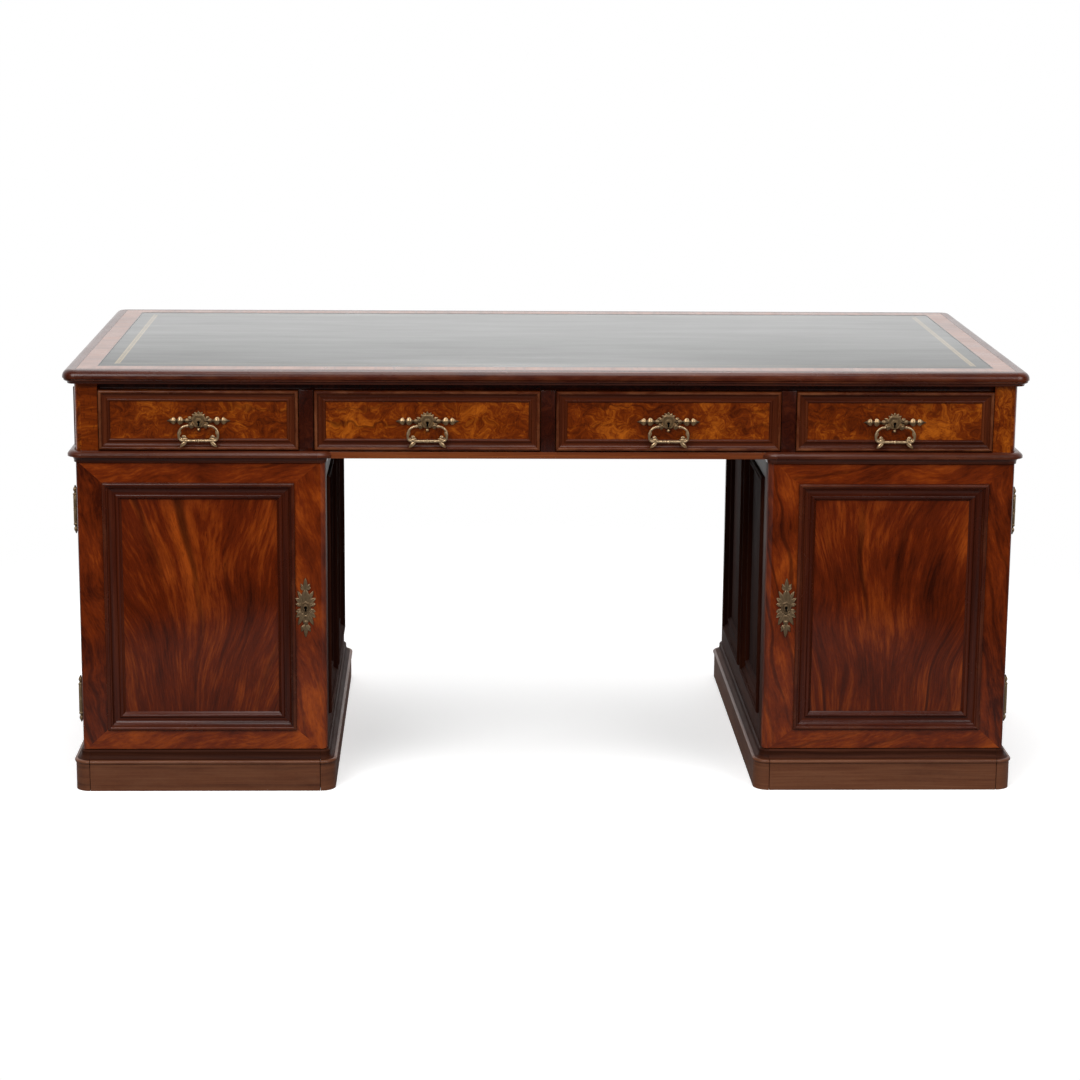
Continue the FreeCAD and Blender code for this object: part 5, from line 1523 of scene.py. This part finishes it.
@dataclass(frozen=True)
class Pedestal:
    """One cupboard pedestal: sides, back, plinth and waist moulding."""

    side: str
    sign: int
    inner: float = 0.4025
    outer: float = CASE_HALF_WIDTH
    half_depth: float = CASE_HALF_DEPTH
    plinth: float = 0.075
    case_height: float = 0.5455
    case_front: float = -0.3804
    case_back: float = 0.381
    corner: float = 0.012
    side_stile: float = 0.062
    back_stile: float = 0.060
    rail: float = 0.056
    board_joint: float = 0.0012
    cap_joint: float = 0.0003

    def build(self) -> None:
        """Make and dress the pedestal."""
        middle, depth = (self.case_front + self.case_back) / 2, self.case_back - self.case_front
        for place, x, quarter in (("outer", self.outer, self.sign), ("inner", self.inner, -self.sign)):
            face = Face(self.sign * x, middle, self.plinth, quarter)
            pocket = Pocket(self.sign) if place == "inner" else None
            framing = PanelFrame(f"{self.side}_{place}_side", face, "desk", depth, self.case_height,
                                 (self.side_stile, self.side_stile), self.rail, self.side_stile, count=2,
                                 pocket=pocket)
            self.dress(framing, f"{self.side}_{place}_side", place == "inner")
        face = Face(self.sign * (self.inner + self.outer) / 2, self.half_depth, self.plinth, 2)
        back = PanelFrame(f"{self.side}_back", face, "desk", self.outer - self.inner, self.case_height,
                          (self.back_stile, self.back_stile), self.rail, radii=(self.corner, self.corner))
        self.dress(back, f"{self.side}_back")
        self.rings()

    def dress(self, work: PanelFrame, node: str, dark: bool = False) -> None:
        """Make one side's frame, panels and mouldings; painted shade darkens those facing the knee hole.

        Args:
            work: the side's framing.
            node: the CAD node that it stands for.
            dark: whether it faces the knee hole, and so takes the painted shade.
        """
        # Towards the knee hole each part takes a darker copy of its finish: painted shade.
        for part, fill, finish, shaded in (("frame", work.members, FINISH.side, FINISH.knee_frame),
                                           ("panels", work.panels, FINISH.panel, FINISH.knee),
                                           ("mouldings", work.mouldings, FINISH.moulding, FINISH.knee)):
            piece = Piece(f"{work.name}_{part}")
            fill(piece)
            piece.finish(shaded if dark else finish, work.body, [node])

    def rings(self) -> None:
        """Plinth and waist moulding. On the knee side the waist stays below the frieze."""
        low_x, high_x = sorted((self.sign * self.inner, self.sign * self.outer))
        low, high = (low_x, -self.half_depth), (high_x, self.half_depth)
        for name, section, finish, joint in (("board", PLINTH_FLAT, FINISH.plinth, self.board_joint),
                                             ("cap", PLINTH_CAP, FINISH.cap, self.cap_joint)):
            plinth = Piece(f"{self.side}_plinth_{name}")
            moulded_ring(plinth, section, low, high, self.corner, joint)
            plinth.finish(finish, "desk", [f"{self.side}_plinth"])
        waist = Piece(f"{self.side}_waist_ring")
        knee_side = 2 if self.sign > 0 else 0
        moulded_ring(waist, WAIST_MOULD, low, high, self.corner, other={knee_side: KNEE_MOULD})
        waist.finish(FINISH.waist, "desk", ["waist_mouldings"])


@dataclass(frozen=True)
class Door:
    """A pedestal door: frame with mitred veneer, crotch-veneered panel, moulding.

    The hinge stile's veneer is darker than the rest, and the two rails differ a little.
    """

    side: str
    sign: int
    middle: float = 0.62625
    front: float = -CASE_HALF_DEPTH
    bottom: float = 0.0762
    width: float = 0.4475
    height: float = 0.5356
    lock_stile: float = 0.064
    hinge_stile: float = 0.055
    rail: float = 0.045
    lock_radius: float = 0.012
    hinge_radius: float = 0.006
    lean: float = 14
    hinge_tone: float = -0.06
    rail_tones: tuple[float, float] = (0.01, -0.01)

    def build(self) -> None:
        """Make and dress the door."""
        name = f"{self.side}_door"
        face = Face(self.sign * self.middle, self.front, self.bottom)
        stiles = (self.lock_stile, self.hinge_stile)[::self.sign]
        radii = (self.lock_radius, self.hinge_radius)[::self.sign]
        tones = (*(0, self.hinge_tone)[::self.sign], *self.rail_tones)
        work = PanelFrame(name, face, name, self.width, self.height, stiles, self.rail, radii=radii,
                          mitred=True, lean=self.lean, tones=tones)
        for part, fill, finish in (("frame", work.members, FINISH.frame), ("panel", work.panels, FINISH.door),
                                   ("moulding", work.mouldings, FINISH.moulding)):
            piece = Piece(f"{name}_{part}_veneer")
            fill(piece)
            piece.finish(finish, name, [f"{name}_{part}"])


@dataclass(frozen=True)
class Drawer:
    """A drawer's front and its moulding."""

    number: int
    centre: float
    opening: float
    gap: float = 0.0012

    def build(self) -> None:
        """Dress the drawer's front, which keeps the CAD's joints, and make its moulding."""
        name = f"drawer_{self.number}"
        face = Face(self.centre, FIELD_Y, MOULD_LOW)
        width = self.opening - 2 * self.gap
        dress(frame["nodes"][f"{name}_front"], FINISH.front)
        moulding = Piece(f"{name}_mould")
        panel_moulding(moulding, face, DRAWER_MOULD, 0, 0, width, MOULD_HEIGHT)
        moulding.finish(FINISH.drawer_moulding, name, [f"{name}_moulding"])


@dataclass(frozen=True)
class Keyhole:
    """A keyhole in a cast plate, with a near-black plate behind it as painted shade in the hole."""

    pin: float = 0.0027
    slot: float = 0.0032
    drop: float = 0.0075
    points: int = 48
    heights: tuple[float, ...] = (0, 0.75, 1, 0.95, 0.5, 0.55, 0.85, 0.8, 0.35, 0)
    shares: tuple[float, ...] = (0, 0, 0.10, 0.26, 0.38, 0.6, 0.72, 0.85, 1, 1)
    # Corners of the near-black plate that paints the shade inside the keyhole.
    shade_low: Point = (-0.0045, -0.0002, -0.0085)
    shade_high: Point = (0.0045, 0.0004, 0.0045)
    shade_edge: float = 0.00005

    def boss(self, half: tuple[float, float], lobes: tuple[int, float], relief: float,
             shift: float = 0) -> Surface:
        """A domed boss round the hole: raised lip, hollow, and a beaded strap at the rim.

        The rim is an ellipse that is cut into by a cosine wave.

        Args:
            half: half width and half height of the rim.
            lobes: number and depth of the waves in the rim.
            relief: how far the lip stands out.
            shift: height of the rim's middle above the keyhole's.

        Returns:
            The boss, about the keyhole's centre, with its back at y = 0.
        """
        angle = np.linspace(0, 2 * math.pi, self.points + 1)[:-1]
        wave = 1 + lobes[1] * (np.cos(lobes[0] * angle) - 1)
        rim = np.stack([half[0] * wave * np.cos(angle), half[1] * wave * np.sin(angle) + shift], -1)
        hole = keyhole(self.points, self.pin, self.slot, self.drop)
        return rosette(hole, rim, [relief * height for height in self.heights], self.shares)

    def shadow(self, name: str, body: str, face: Face) -> None:
        """The near-black plate behind the hole: painted shade that stands for the hole's dark depth.

        Args:
            name: the plate's name.
            body: the CAD body that it moves with.
            face: middle of the hole's eye.
        """
        piece = Piece(name)
        slab(piece, face, self.shade_low, self.shade_high, radius=self.shade_edge)
        piece.finish(FINISH.black, body)


def add_leaves(piece: Piece, face: Face, leaves: Sequence[Point], depth: float = 0) -> None:
    """Add cast leaves to a plate: a leaf off the middle line, or one that points off it, has a twin.

    Args:
        piece: what they are added to.
        face: where they are set.
        leaves: x and z of each root, direction in degrees from +x, length, width and relief, in millimetres.
        depth: how far into the face their backs lie.
    """
    for x, z, way, length, width, relief in leaves:
        shape = leaf(length * MM, width * MM, relief * MM)
        single = x == 0 and way % 180 == 90
        for root, turn in ((x, way), (-x, 180 - way))[:1 if single else 2]:
            piece.add(shape.moved(lambda points: face.set(points, root * MM, depth, z * MM, -turn)))


@dataclass(frozen=True)
class Handle:
    """A drawer's cast brass handle: boss with a keyhole, turned arms, leaves, and a swinging bail.

    Outlines, turned profiles, leaves, beads and the volutes' radius are in millimetres. A bead is its
    height, the place of its middle and its reach to each side.
    """

    number: int
    centre: float
    pivot: float = 0.681
    standoff: float = 0.0115
    axis: float = 0.008
    key: float = 0.005
    post: float = 0.013
    arm_depth: float = 0.0031
    wire: float = 0.0024
    bar: float = -0.027
    boss_half: tuple[float, float] = (0.0150, 0.0135)
    boss_lobes: tuple[int, float] = (6, 0.05)
    boss_relief: float = 0.0042
    arm_squash: tuple[float, float] = (0.5, 1)
    arm_lobes: tuple[int, float] = (4, 0.13)
    arm: tuple[Point, ...] = (
        (11, 2.2), (16.5, 2.6), (18, 3.9), (20.5, 4.4), (23, 3.7), (24, 2.4), (26.5, 2.2), (28.5, 4.2),
        (31, 6.9), (33.5, 7.4), (36, 6.2), (38, 3.0), (39.5, 2.2), (41, 3.8), (43, 6.3), (45, 6.7),
        (47.5, 5.2), (50.5, 3.0), (53.5, 1.7), (56.8, 0.4))
    stem: tuple[Point, ...] = (
        (0, 4.9), (1.6, 4.9), (2.6, 3.6), (3.4, 2.9), (6.6, 2.7), (7.6, 3.3), (8.4, 3.4), (14, 3.4),
        (15, 2.2))
    drop: tuple[Point, ...] = ((-3.2, 0.3), (-2.2, 2.3), (0, 3.2), (2.2, 2.3), (3.2, 0.3))
    drop_depth: float = 0.0022
    drop_level: float = -0.0080
    crown: tuple[Point, ...] = (
        (0, 18.5, 90, 7, 5, 2.6), (2.5, 17.5, 52, 7.5, 4.4, 2.4), (6, 16, 30, 7, 4, 2.2),
        (9, -1, -48, 8, 4.5, 2.4), (12, 12, 18, 8, 5, 2.4), (12, 4.5, -18, 7, 4, 2.2))
    loop: tuple[Point, ...] = (
        (-20, 0), (-35, -15, -15), (-35, -20), (-28, -27, -7), (28, -27), (35, -20, -7), (35, -15),
        (20, 0, -15))
    loop_points: int = 150
    arc_steps: int = 10
    bar_reach: float = 0.0005
    beads: tuple[Point, ...] = ((1.5, 0, 2.6), (0.9, 5.2, 1.3), (0.9, 12.5, 1.3), (0.5, 16, 1.5))
    side_bead: Point = (0.7, 15, 7)
    side_thin: float = 0.25
    bead_share: float = 0.8
    volute_place: tuple[float, float] = (0.0265, -0.0205)
    volute_turn: float = 2.6
    volute_radius: float = 5.2
    volute_shrink: float = 1.5
    volute_wire: tuple[float, float] = (0.0017, 0.0012)
    volute_points: int = 44
    volute_sides: int = 10
    eye: tuple[Point, ...] = ((-2.4, 0.4), (-1.6, 1.7), (0, 2.2), (1.6, 1.7), (2.4, 0.4))
    pin: tuple[Point, ...] = ((9.6, 1.4), (17, 1.45), (18, 2.6), (20.5, 2.7), (21.5, 1.6))
    feet: tuple[Point, ...] = ((21, -27.5, -42, 16.5, 7.2, 4.4), (30.5, -25.5, 166, 12, 5.6, 4.2),
                               (33.8, -17, 105, 9, 4.6, 3.8))
    feet_depth: float = 0.0012

    def build(self) -> None:
        """Make and dress the handle."""
        self.plate()
        self.bail()

    def plate(self) -> None:
        """The fixed plate with its posts."""
        name = f"drawer_{self.number}"
        face = Face(self.centre, FIELD_Y, self.pivot)
        hole = Keyhole()
        piece = Piece(f"{name}_handle_cast")
        boss = hole.boss(self.boss_half, self.boss_lobes, self.boss_relief, self.axis - self.key)
        piece.add(boss.moved(lambda points: face.set(points, z=self.key)))
        for turn in (0, 180):
            arm = lathe(self.arm, self.arm_squash, self.arm_lobes)
            piece.add(arm.moved(lambda points: face.set(points, 0, -self.arm_depth, self.axis, turn)))
        for sign in (-1, 1):
            stem = lathe(self.stem)
            piece.add(stem.moved(lambda points: face.set(points @ about_z(-90).T, sign * self.post)))
        drop = lathe(self.drop)
        piece.add(drop.moved(lambda points: face.set(points, 0, -self.drop_depth, self.drop_level, 90)))
        add_leaves(piece, face, self.crown)
        piece.finish(FINISH.brass, name, [f"{name}_handle_plate"])
        # Painted shade in the keyhole: a near-black plate behind it.
        hole.shadow(f"{name}_keyhole_painted_shade", name, Face(self.centre, FIELD_Y, self.pivot + self.key))

    def bail(self) -> None:
        """The swinging loop: a drawn bar that swells into beads, volutes in its corners and leaf feet."""
        name = f"drawer_{self.number}"
        face = Face(self.centre, FIELD_Y - self.standoff, self.pivot)
        piece = Piece(f"{name}_bail_cast")
        path = spread(outline(self.loop, self.arc_steps), self.loop_points)
        flat = np.zeros(self.loop_points)
        loop = tube(np.stack([path[:, 0], flat, path[:, 1]], -1), self.loop_radius(path))
        piece.add(loop.moved(face.set))
        x, z = self.volute_place
        for sign in (-1, 1):
            piece.add(self.volute(sign).moved(face.set))
            eye = lathe(self.eye)
            piece.add(eye.moved(lambda points: face.set(points @ about_z(-90).T, sign * x, 0, z)))
            pin = lathe(self.pin)
            piece.add(pin.moved(lambda points: face.set(points, spin=90 - 90 * sign)))
        add_leaves(piece, face, self.feet, self.feet_depth)
        piece.finish(FINISH.rubbed_brass, f"{name}_bail_body", [f"{name}_bail"])

    def loop_radius(self, path: Array) -> Array:
        """Radius along the loop: the wire's own, with beads on the bar and a long swelling at each side.

        Args:
            path: (n, 2) points of the loop, x and z.

        Returns:
            The radius at each point.
        """
        on_bar = path[:, 1] < self.bar + self.bar_reach
        from_middle, below = np.abs(path[:, 0]) / MM, -path[:, 1] / MM
        beads = sum(height * swell(from_middle, centre, reach) for height, centre, reach in self.beads)
        height, centre, reach = self.side_bead
        sides = height * swell(below, centre, reach) - self.side_thin
        return self.wire + np.where(on_bar, beads, sides) * MM * self.bead_share

    def volute(self, sign: int) -> Surface:
        """A spiral in a corner of the loop, whose radius shrinks evenly as it turns.

        Args:
            sign: -1 for the left corner, 1 for the right one.

        Returns:
            The spiral.
        """
        x, z = self.volute_place
        turn = np.linspace(0, self.volute_turn * math.pi, self.volute_points)
        reach = (self.volute_radius - self.volute_shrink * turn / self.volute_turn) * MM
        path = np.stack([sign * (x + reach * np.cos(turn)), np.zeros(self.volute_points),
                         z - reach * np.sin(turn)], -1)
        return tube(path, np.linspace(*self.volute_wire, self.volute_points), self.volute_sides)


@dataclass(frozen=True)
class Escutcheon:
    """A door's keyhole plate: a lozenge of cast leaves that climb and hang from a boss.

    Balls are x, z and radius, in millimetres, with a twin on the left where x isn't 0.
    """

    side: str
    sign: int
    x: float = 0.4395
    front: float = -CASE_HALF_DEPTH
    level: float = 0.344
    boss_half: tuple[float, float] = (0.0098, 0.0125)
    boss_lobes: tuple[int, float] = (8, 0.04)
    boss_relief: float = 0.0034
    balls: tuple[Point, ...] = ((0, -16, 3.1), (0, -27, 4.2), (13.2, -4.5, 2.6), (13.2, 4.5, 2.6))
    ball_squash: tuple[float, float] = (0.6, 1)
    ball_depth: float = 0.0014
    ball_turn: float = 1.5
    ball_rings: int = 9
    leaves: tuple[Point, ...] = (
        (0, 30, 90, 25.5, 8, 2.6), (1, 31, 62, 16, 6, 2.3), (2, 33, 35, 9, 5, 2.0),
        (0, 7, 90, 28, 15, 2.9), (3, 10, 62, 24, 8, 2.3), (5, 8, 38, 16.5, 9, 2.2),
        (7, 4.5, 14, 11.5, 8, 2.2), (7, -4.5, -14, 11.5, 8, 2.2), (5, -8, -38, 16.5, 9, 2.2),
        (3, -10, -64, 25, 8, 2.3), (0, -9, -90, 27, 12, 2.2),
        (2, -33, -35, 9, 5, 2.0), (1, -31, -62, 16, 6, 2.3), (0, -30, -90, 25.5, 8, 2.6))

    def build(self) -> None:
        """Make and dress the plate."""
        name = f"{self.side}_door"
        face = Face(self.sign * self.x, self.front, self.level)
        hole = Keyhole()
        piece = Piece(f"{name}_escutcheon_cast")
        piece.add(hole.boss(self.boss_half, self.boss_lobes, self.boss_relief).moved(face.set))
        add_leaves(piece, face, self.leaves)
        turns = np.linspace(-self.ball_turn, self.ball_turn, self.ball_rings)
        for x, z, radius in self.balls:
            profile = radius * np.stack([np.sin(turns), np.cos(turns)], -1)
            ball = lathe(profile.tolist(), self.ball_squash)
            for sign in ((-1, 1) if x else (1,)):
                place = (sign * x * MM, -self.ball_depth, z * MM, 90)
                piece.add(ball.moved(lambda points: face.set(points, *place)))
        piece.finish(FINISH.dull_brass, name, [f"{name}_escutcheon"])
        # Painted shade in the keyhole: a near-black plate behind it.
        hole.shadow(f"{name}_keyhole_painted_shade", name, face)


@dataclass(frozen=True)
class Hinges:
    """Lift-off hinges at the outer edges of the doors, with turned barrels and finials.

    Each half has a barrel and a leaf: the door's lie above a hinge's level, and the case's below it.
    """

    offset: float = 0.8549
    line: float = -0.3807
    levels: tuple[float, float] = (0.1662, 0.5218)
    leaf_inner: float = 0.828
    leaf_outer: float = 0.8521
    leaf_ends: tuple[float, float] = (0.002, 0.028)
    door_leaf: tuple[float, float] = (-0.3826, -0.38085)
    case_leaf: tuple[float, float] = (-0.38055, -0.3788)
    barrel: tuple[Point, ...] = (
        (0.3, 4.0), (0.9, 4.45), (2.6, 4.45), (3.2, 3.9), (4.2, 4.2), (24, 4.2), (25, 3.7), (26, 4.45),
        (28.6, 4.45), (29.6, 3.4), (31, 2.4), (32.4, 2.4), (33.6, 3.4), (36.2, 4.1), (39, 3.5), (41.4, 1.9),
        (43.2, 1.5), (44.9, 0.3))

    def build(self) -> None:
        """Make and dress both halves of every hinge."""
        case = Piece("case_hinge_halves")
        ground = Face(0, 0, 0)
        for side, sign in (("left", -1), ("right", 1)):
            door = Piece(f"{side}_door_hinge_halves")
            low, high = sorted((sign * self.leaf_inner, sign * self.leaf_outer))
            near, far = self.leaf_ends
            for level in self.levels:
                for piece, spin in ((door, -90), (case, 90)):
                    place = (sign * self.offset, self.line, level, spin)
                    piece.add(lathe(self.barrel).moved(lambda points: ground.set(points, *place)))
                slab(door, ground, (low, self.door_leaf[0], level + near),
                     (high, self.door_leaf[1], level + far), radius=FINE_EDGE)
                slab(case, ground, (low, self.case_leaf[0], level - far),
                     (high, self.case_leaf[1], level - near), radius=FINE_EDGE)
            door.finish(FINISH.hinge_brass, f"{side}_door", [f"{side}_door_hinges"])
        case.finish(FINISH.hinge_brass, "desk", ["case_hinges"])


def dress_nodes(nodes: dict[str, bpy.types.Object]) -> None:
    """Give the CAD nodes that stay in view their finishes.

    Args:
        nodes: the CAD nodes by name.
    """
    finishes = {"drawer_oak": FINISH.drawer_oak, "brass": FINISH.brass, "lock_iron": FINISH.iron}
    slots = {row["node"]: row["material_slot"] for row in frame["record"]["subparts"]}
    for name, item in nodes.items():
        finish = FINISH.shelf_oak if name.endswith("case_boards") else finishes.get(slots[name])
        if finish is not None:
            dress(item, finish)


# Studio

@dataclass(frozen=True)
class Studio:
    """Camera at the photograph's angle, pale floor and soft light.

    A lamp is its place, what it is aimed at, its size and its power. The world lights the desk evenly, but
    the polish mirrors it as dark in front and bright behind, with a slope between.
    """

    camera: Point = (-0.1701, -5.2970, 1.5325)
    yaw: float = -1.84
    pitch: float = 12.24
    roll: float = -0.457
    focal: float = 2754 / 1080
    sensor: float = 36.0
    floor_radius: float = 2.1
    floor_points: int = 64
    floor_fade: tuple[float, float] = (0.55, 0.95)
    floor_shown: Colour = (0.92, 0.92, 0.92)
    floor_lit: Colour = (0.20, 0.20, 0.20)
    floor_glow: float = 0.45
    ambient: float = 0.42
    mirrored: tuple[float, float] = (0.03, 1.15)
    mirrored_from: tuple[float, float] = (-0.2, 0.6)
    lamps: tuple[tuple[Point, Point, float, float], ...] = (
        ((-2.2, -3.6, 3.4), (0, 0, 0.4), 2.6, 105),
        ((2.6, -3.2, 2.8), (0, 0, 0.4), 2.4, 60),
        ((0.0, 1.6, 3.8), (0, 0, 0.7), 2.6, 60),
        ((0.0, -0.9, 3.0), (0, -0.4, 0.7), 1.8, 30),
    )

    def build(self) -> None:
        """Set up the scene round the desk."""
        self.place_camera()
        self.lay_floor()
        self.light()
        bpy.context.scene.view_settings.view_transform = "Standard"

    def place_camera(self) -> None:
        """Place the camera that was fitted to the photograph's edges."""
        yaw, pitch, roll = (math.radians(angle) for angle in (self.yaw, self.pitch, self.roll))
        right = np.array([math.cos(yaw), math.sin(yaw), 0])
        level = math.cos(pitch)
        ahead = np.array([-math.sin(yaw) * level, math.cos(yaw) * level, -math.sin(pitch)])
        down = np.cross(ahead, right)
        c, s = math.cos(roll), math.sin(roll)
        right, down = c * right + s * down, c * down - s * right
        data = bpy.data.cameras.new("camera")
        data.sensor_width = self.sensor
        data.lens = self.sensor * self.focal
        item = bpy.data.objects.new("camera", data)
        turn = np.eye(4)
        turn[:3, :3] = np.stack([right, -down, -ahead], -1)
        turn[:3, 3] = self.camera
        item.matrix_world = Matrix(turn.tolist())
        bpy.context.scene.collection.objects.link(item)
        bpy.context.scene.camera = item

    def lay_floor(self) -> None:
        """A pale round floor that fades into the white behind it."""
        angles = np.linspace(0, 2 * math.pi, self.floor_points + 1)[:-1]
        ring = np.stack([np.cos(angles), np.sin(angles), np.zeros_like(angles)], -1) * self.floor_radius
        mesh = bpy.data.meshes.new("floor")
        mesh.from_pydata(ring.tolist(), [], [list(range(self.floor_points))])
        item = bpy.data.objects.new("floor", mesh)
        bpy.context.scene.collection.objects.link(item)
        graph = Graph("pale_floor")
        seen = graph.new("LightPath", {}).outputs["Is Camera Ray"]
        graph.set(Base_Color=graph.mix(seen, (*self.floor_lit, 1), (*self.floor_shown, 1)), Roughness=0.9,
                  Emission_Color=(1, 1, 1, 1),
                  Emission_Strength=graph.math("MULTIPLY", seen, self.floor_glow))
        reach = graph.new("VectorMath", {0: graph.place()}, operation="LENGTH").outputs["Value"]
        start, stop = (self.floor_radius * share for share in self.floor_fade)
        fade = graph.new("MapRange", {0: reach, 1: start, 2: stop, 3: 1.0, 4: 0.0},
                         interpolation_type="SMOOTHSTEP")
        graph.set(Alpha=fade.outputs[0])
        mesh.materials.append(graph.material)

    def light(self) -> None:
        """Large soft lamps, and a world that is white to the camera and behind the desk."""
        for number, (place, aim, size, power) in enumerate(self.lamps, start=1):
            data = bpy.data.lights.new(f"lamp_{number}", "AREA")
            data.shape = "DISK"
            data.size = size
            data.energy = power
            item = bpy.data.objects.new(data.name, data)
            item.location = place
            item.rotation_euler = (Vector(aim) - Vector(place)).to_track_quat("-Z", "Y").to_euler()
            bpy.context.scene.collection.objects.link(item)
        world = bpy.data.worlds.new("studio")
        world.use_nodes = True
        bpy.context.scene.world = world
        tree = world.node_tree
        back = tree.nodes["Background"]
        path = tree.nodes.new("ShaderNodeLightPath")
        place = tree.nodes.new("ShaderNodeTexCoord")
        split = tree.nodes.new("ShaderNodeSeparateXYZ")
        behind = tree.nodes.new("ShaderNodeMapRange")
        soft = tree.nodes.new("ShaderNodeMix")
        shown = tree.nodes.new("ShaderNodeMix")
        links = tree.links
        links.new(place.outputs["Generated"], split.inputs[0])
        links.new(split.outputs["Y"], behind.inputs["Value"])
        limits = (*self.mirrored_from, *self.mirrored)
        for key, value in zip(("From Min", "From Max", "To Min", "To Max"), limits):
            behind.inputs[key].default_value = value
        soft.inputs["A"].default_value = self.ambient
        links.new(path.outputs["Is Glossy Ray"], soft.inputs["Factor"])
        links.new(behind.outputs[0], soft.inputs["B"])
        shown.inputs["B"].default_value = 1.0
        links.new(path.outputs["Is Camera Ray"], shown.inputs["Factor"])
        links.new(soft.outputs[0], shown.inputs["A"])
        back.inputs["Color"].default_value = (1, 1, 1, 1)
        links.new(shown.outputs[0], back.inputs["Strength"])


def main() -> None:
    """Build the desk's looks in order."""
    Studio().build()
    Top().build()
    frieze = Frieze()
    frieze.build()
    for side, sign in (("left", -1), ("right", 1)):
        Pedestal(side, sign).build()
        Door(side, sign).build()
        Escutcheon(side, sign).build()
    Hinges().build()
    for number, (centre, opening) in enumerate(frieze.openings, start=1):
        Drawer(number, centre, opening).build()
        Handle(number, centre).build()
    dress_nodes(frame["nodes"])


if __name__ == "__main__":
    main()
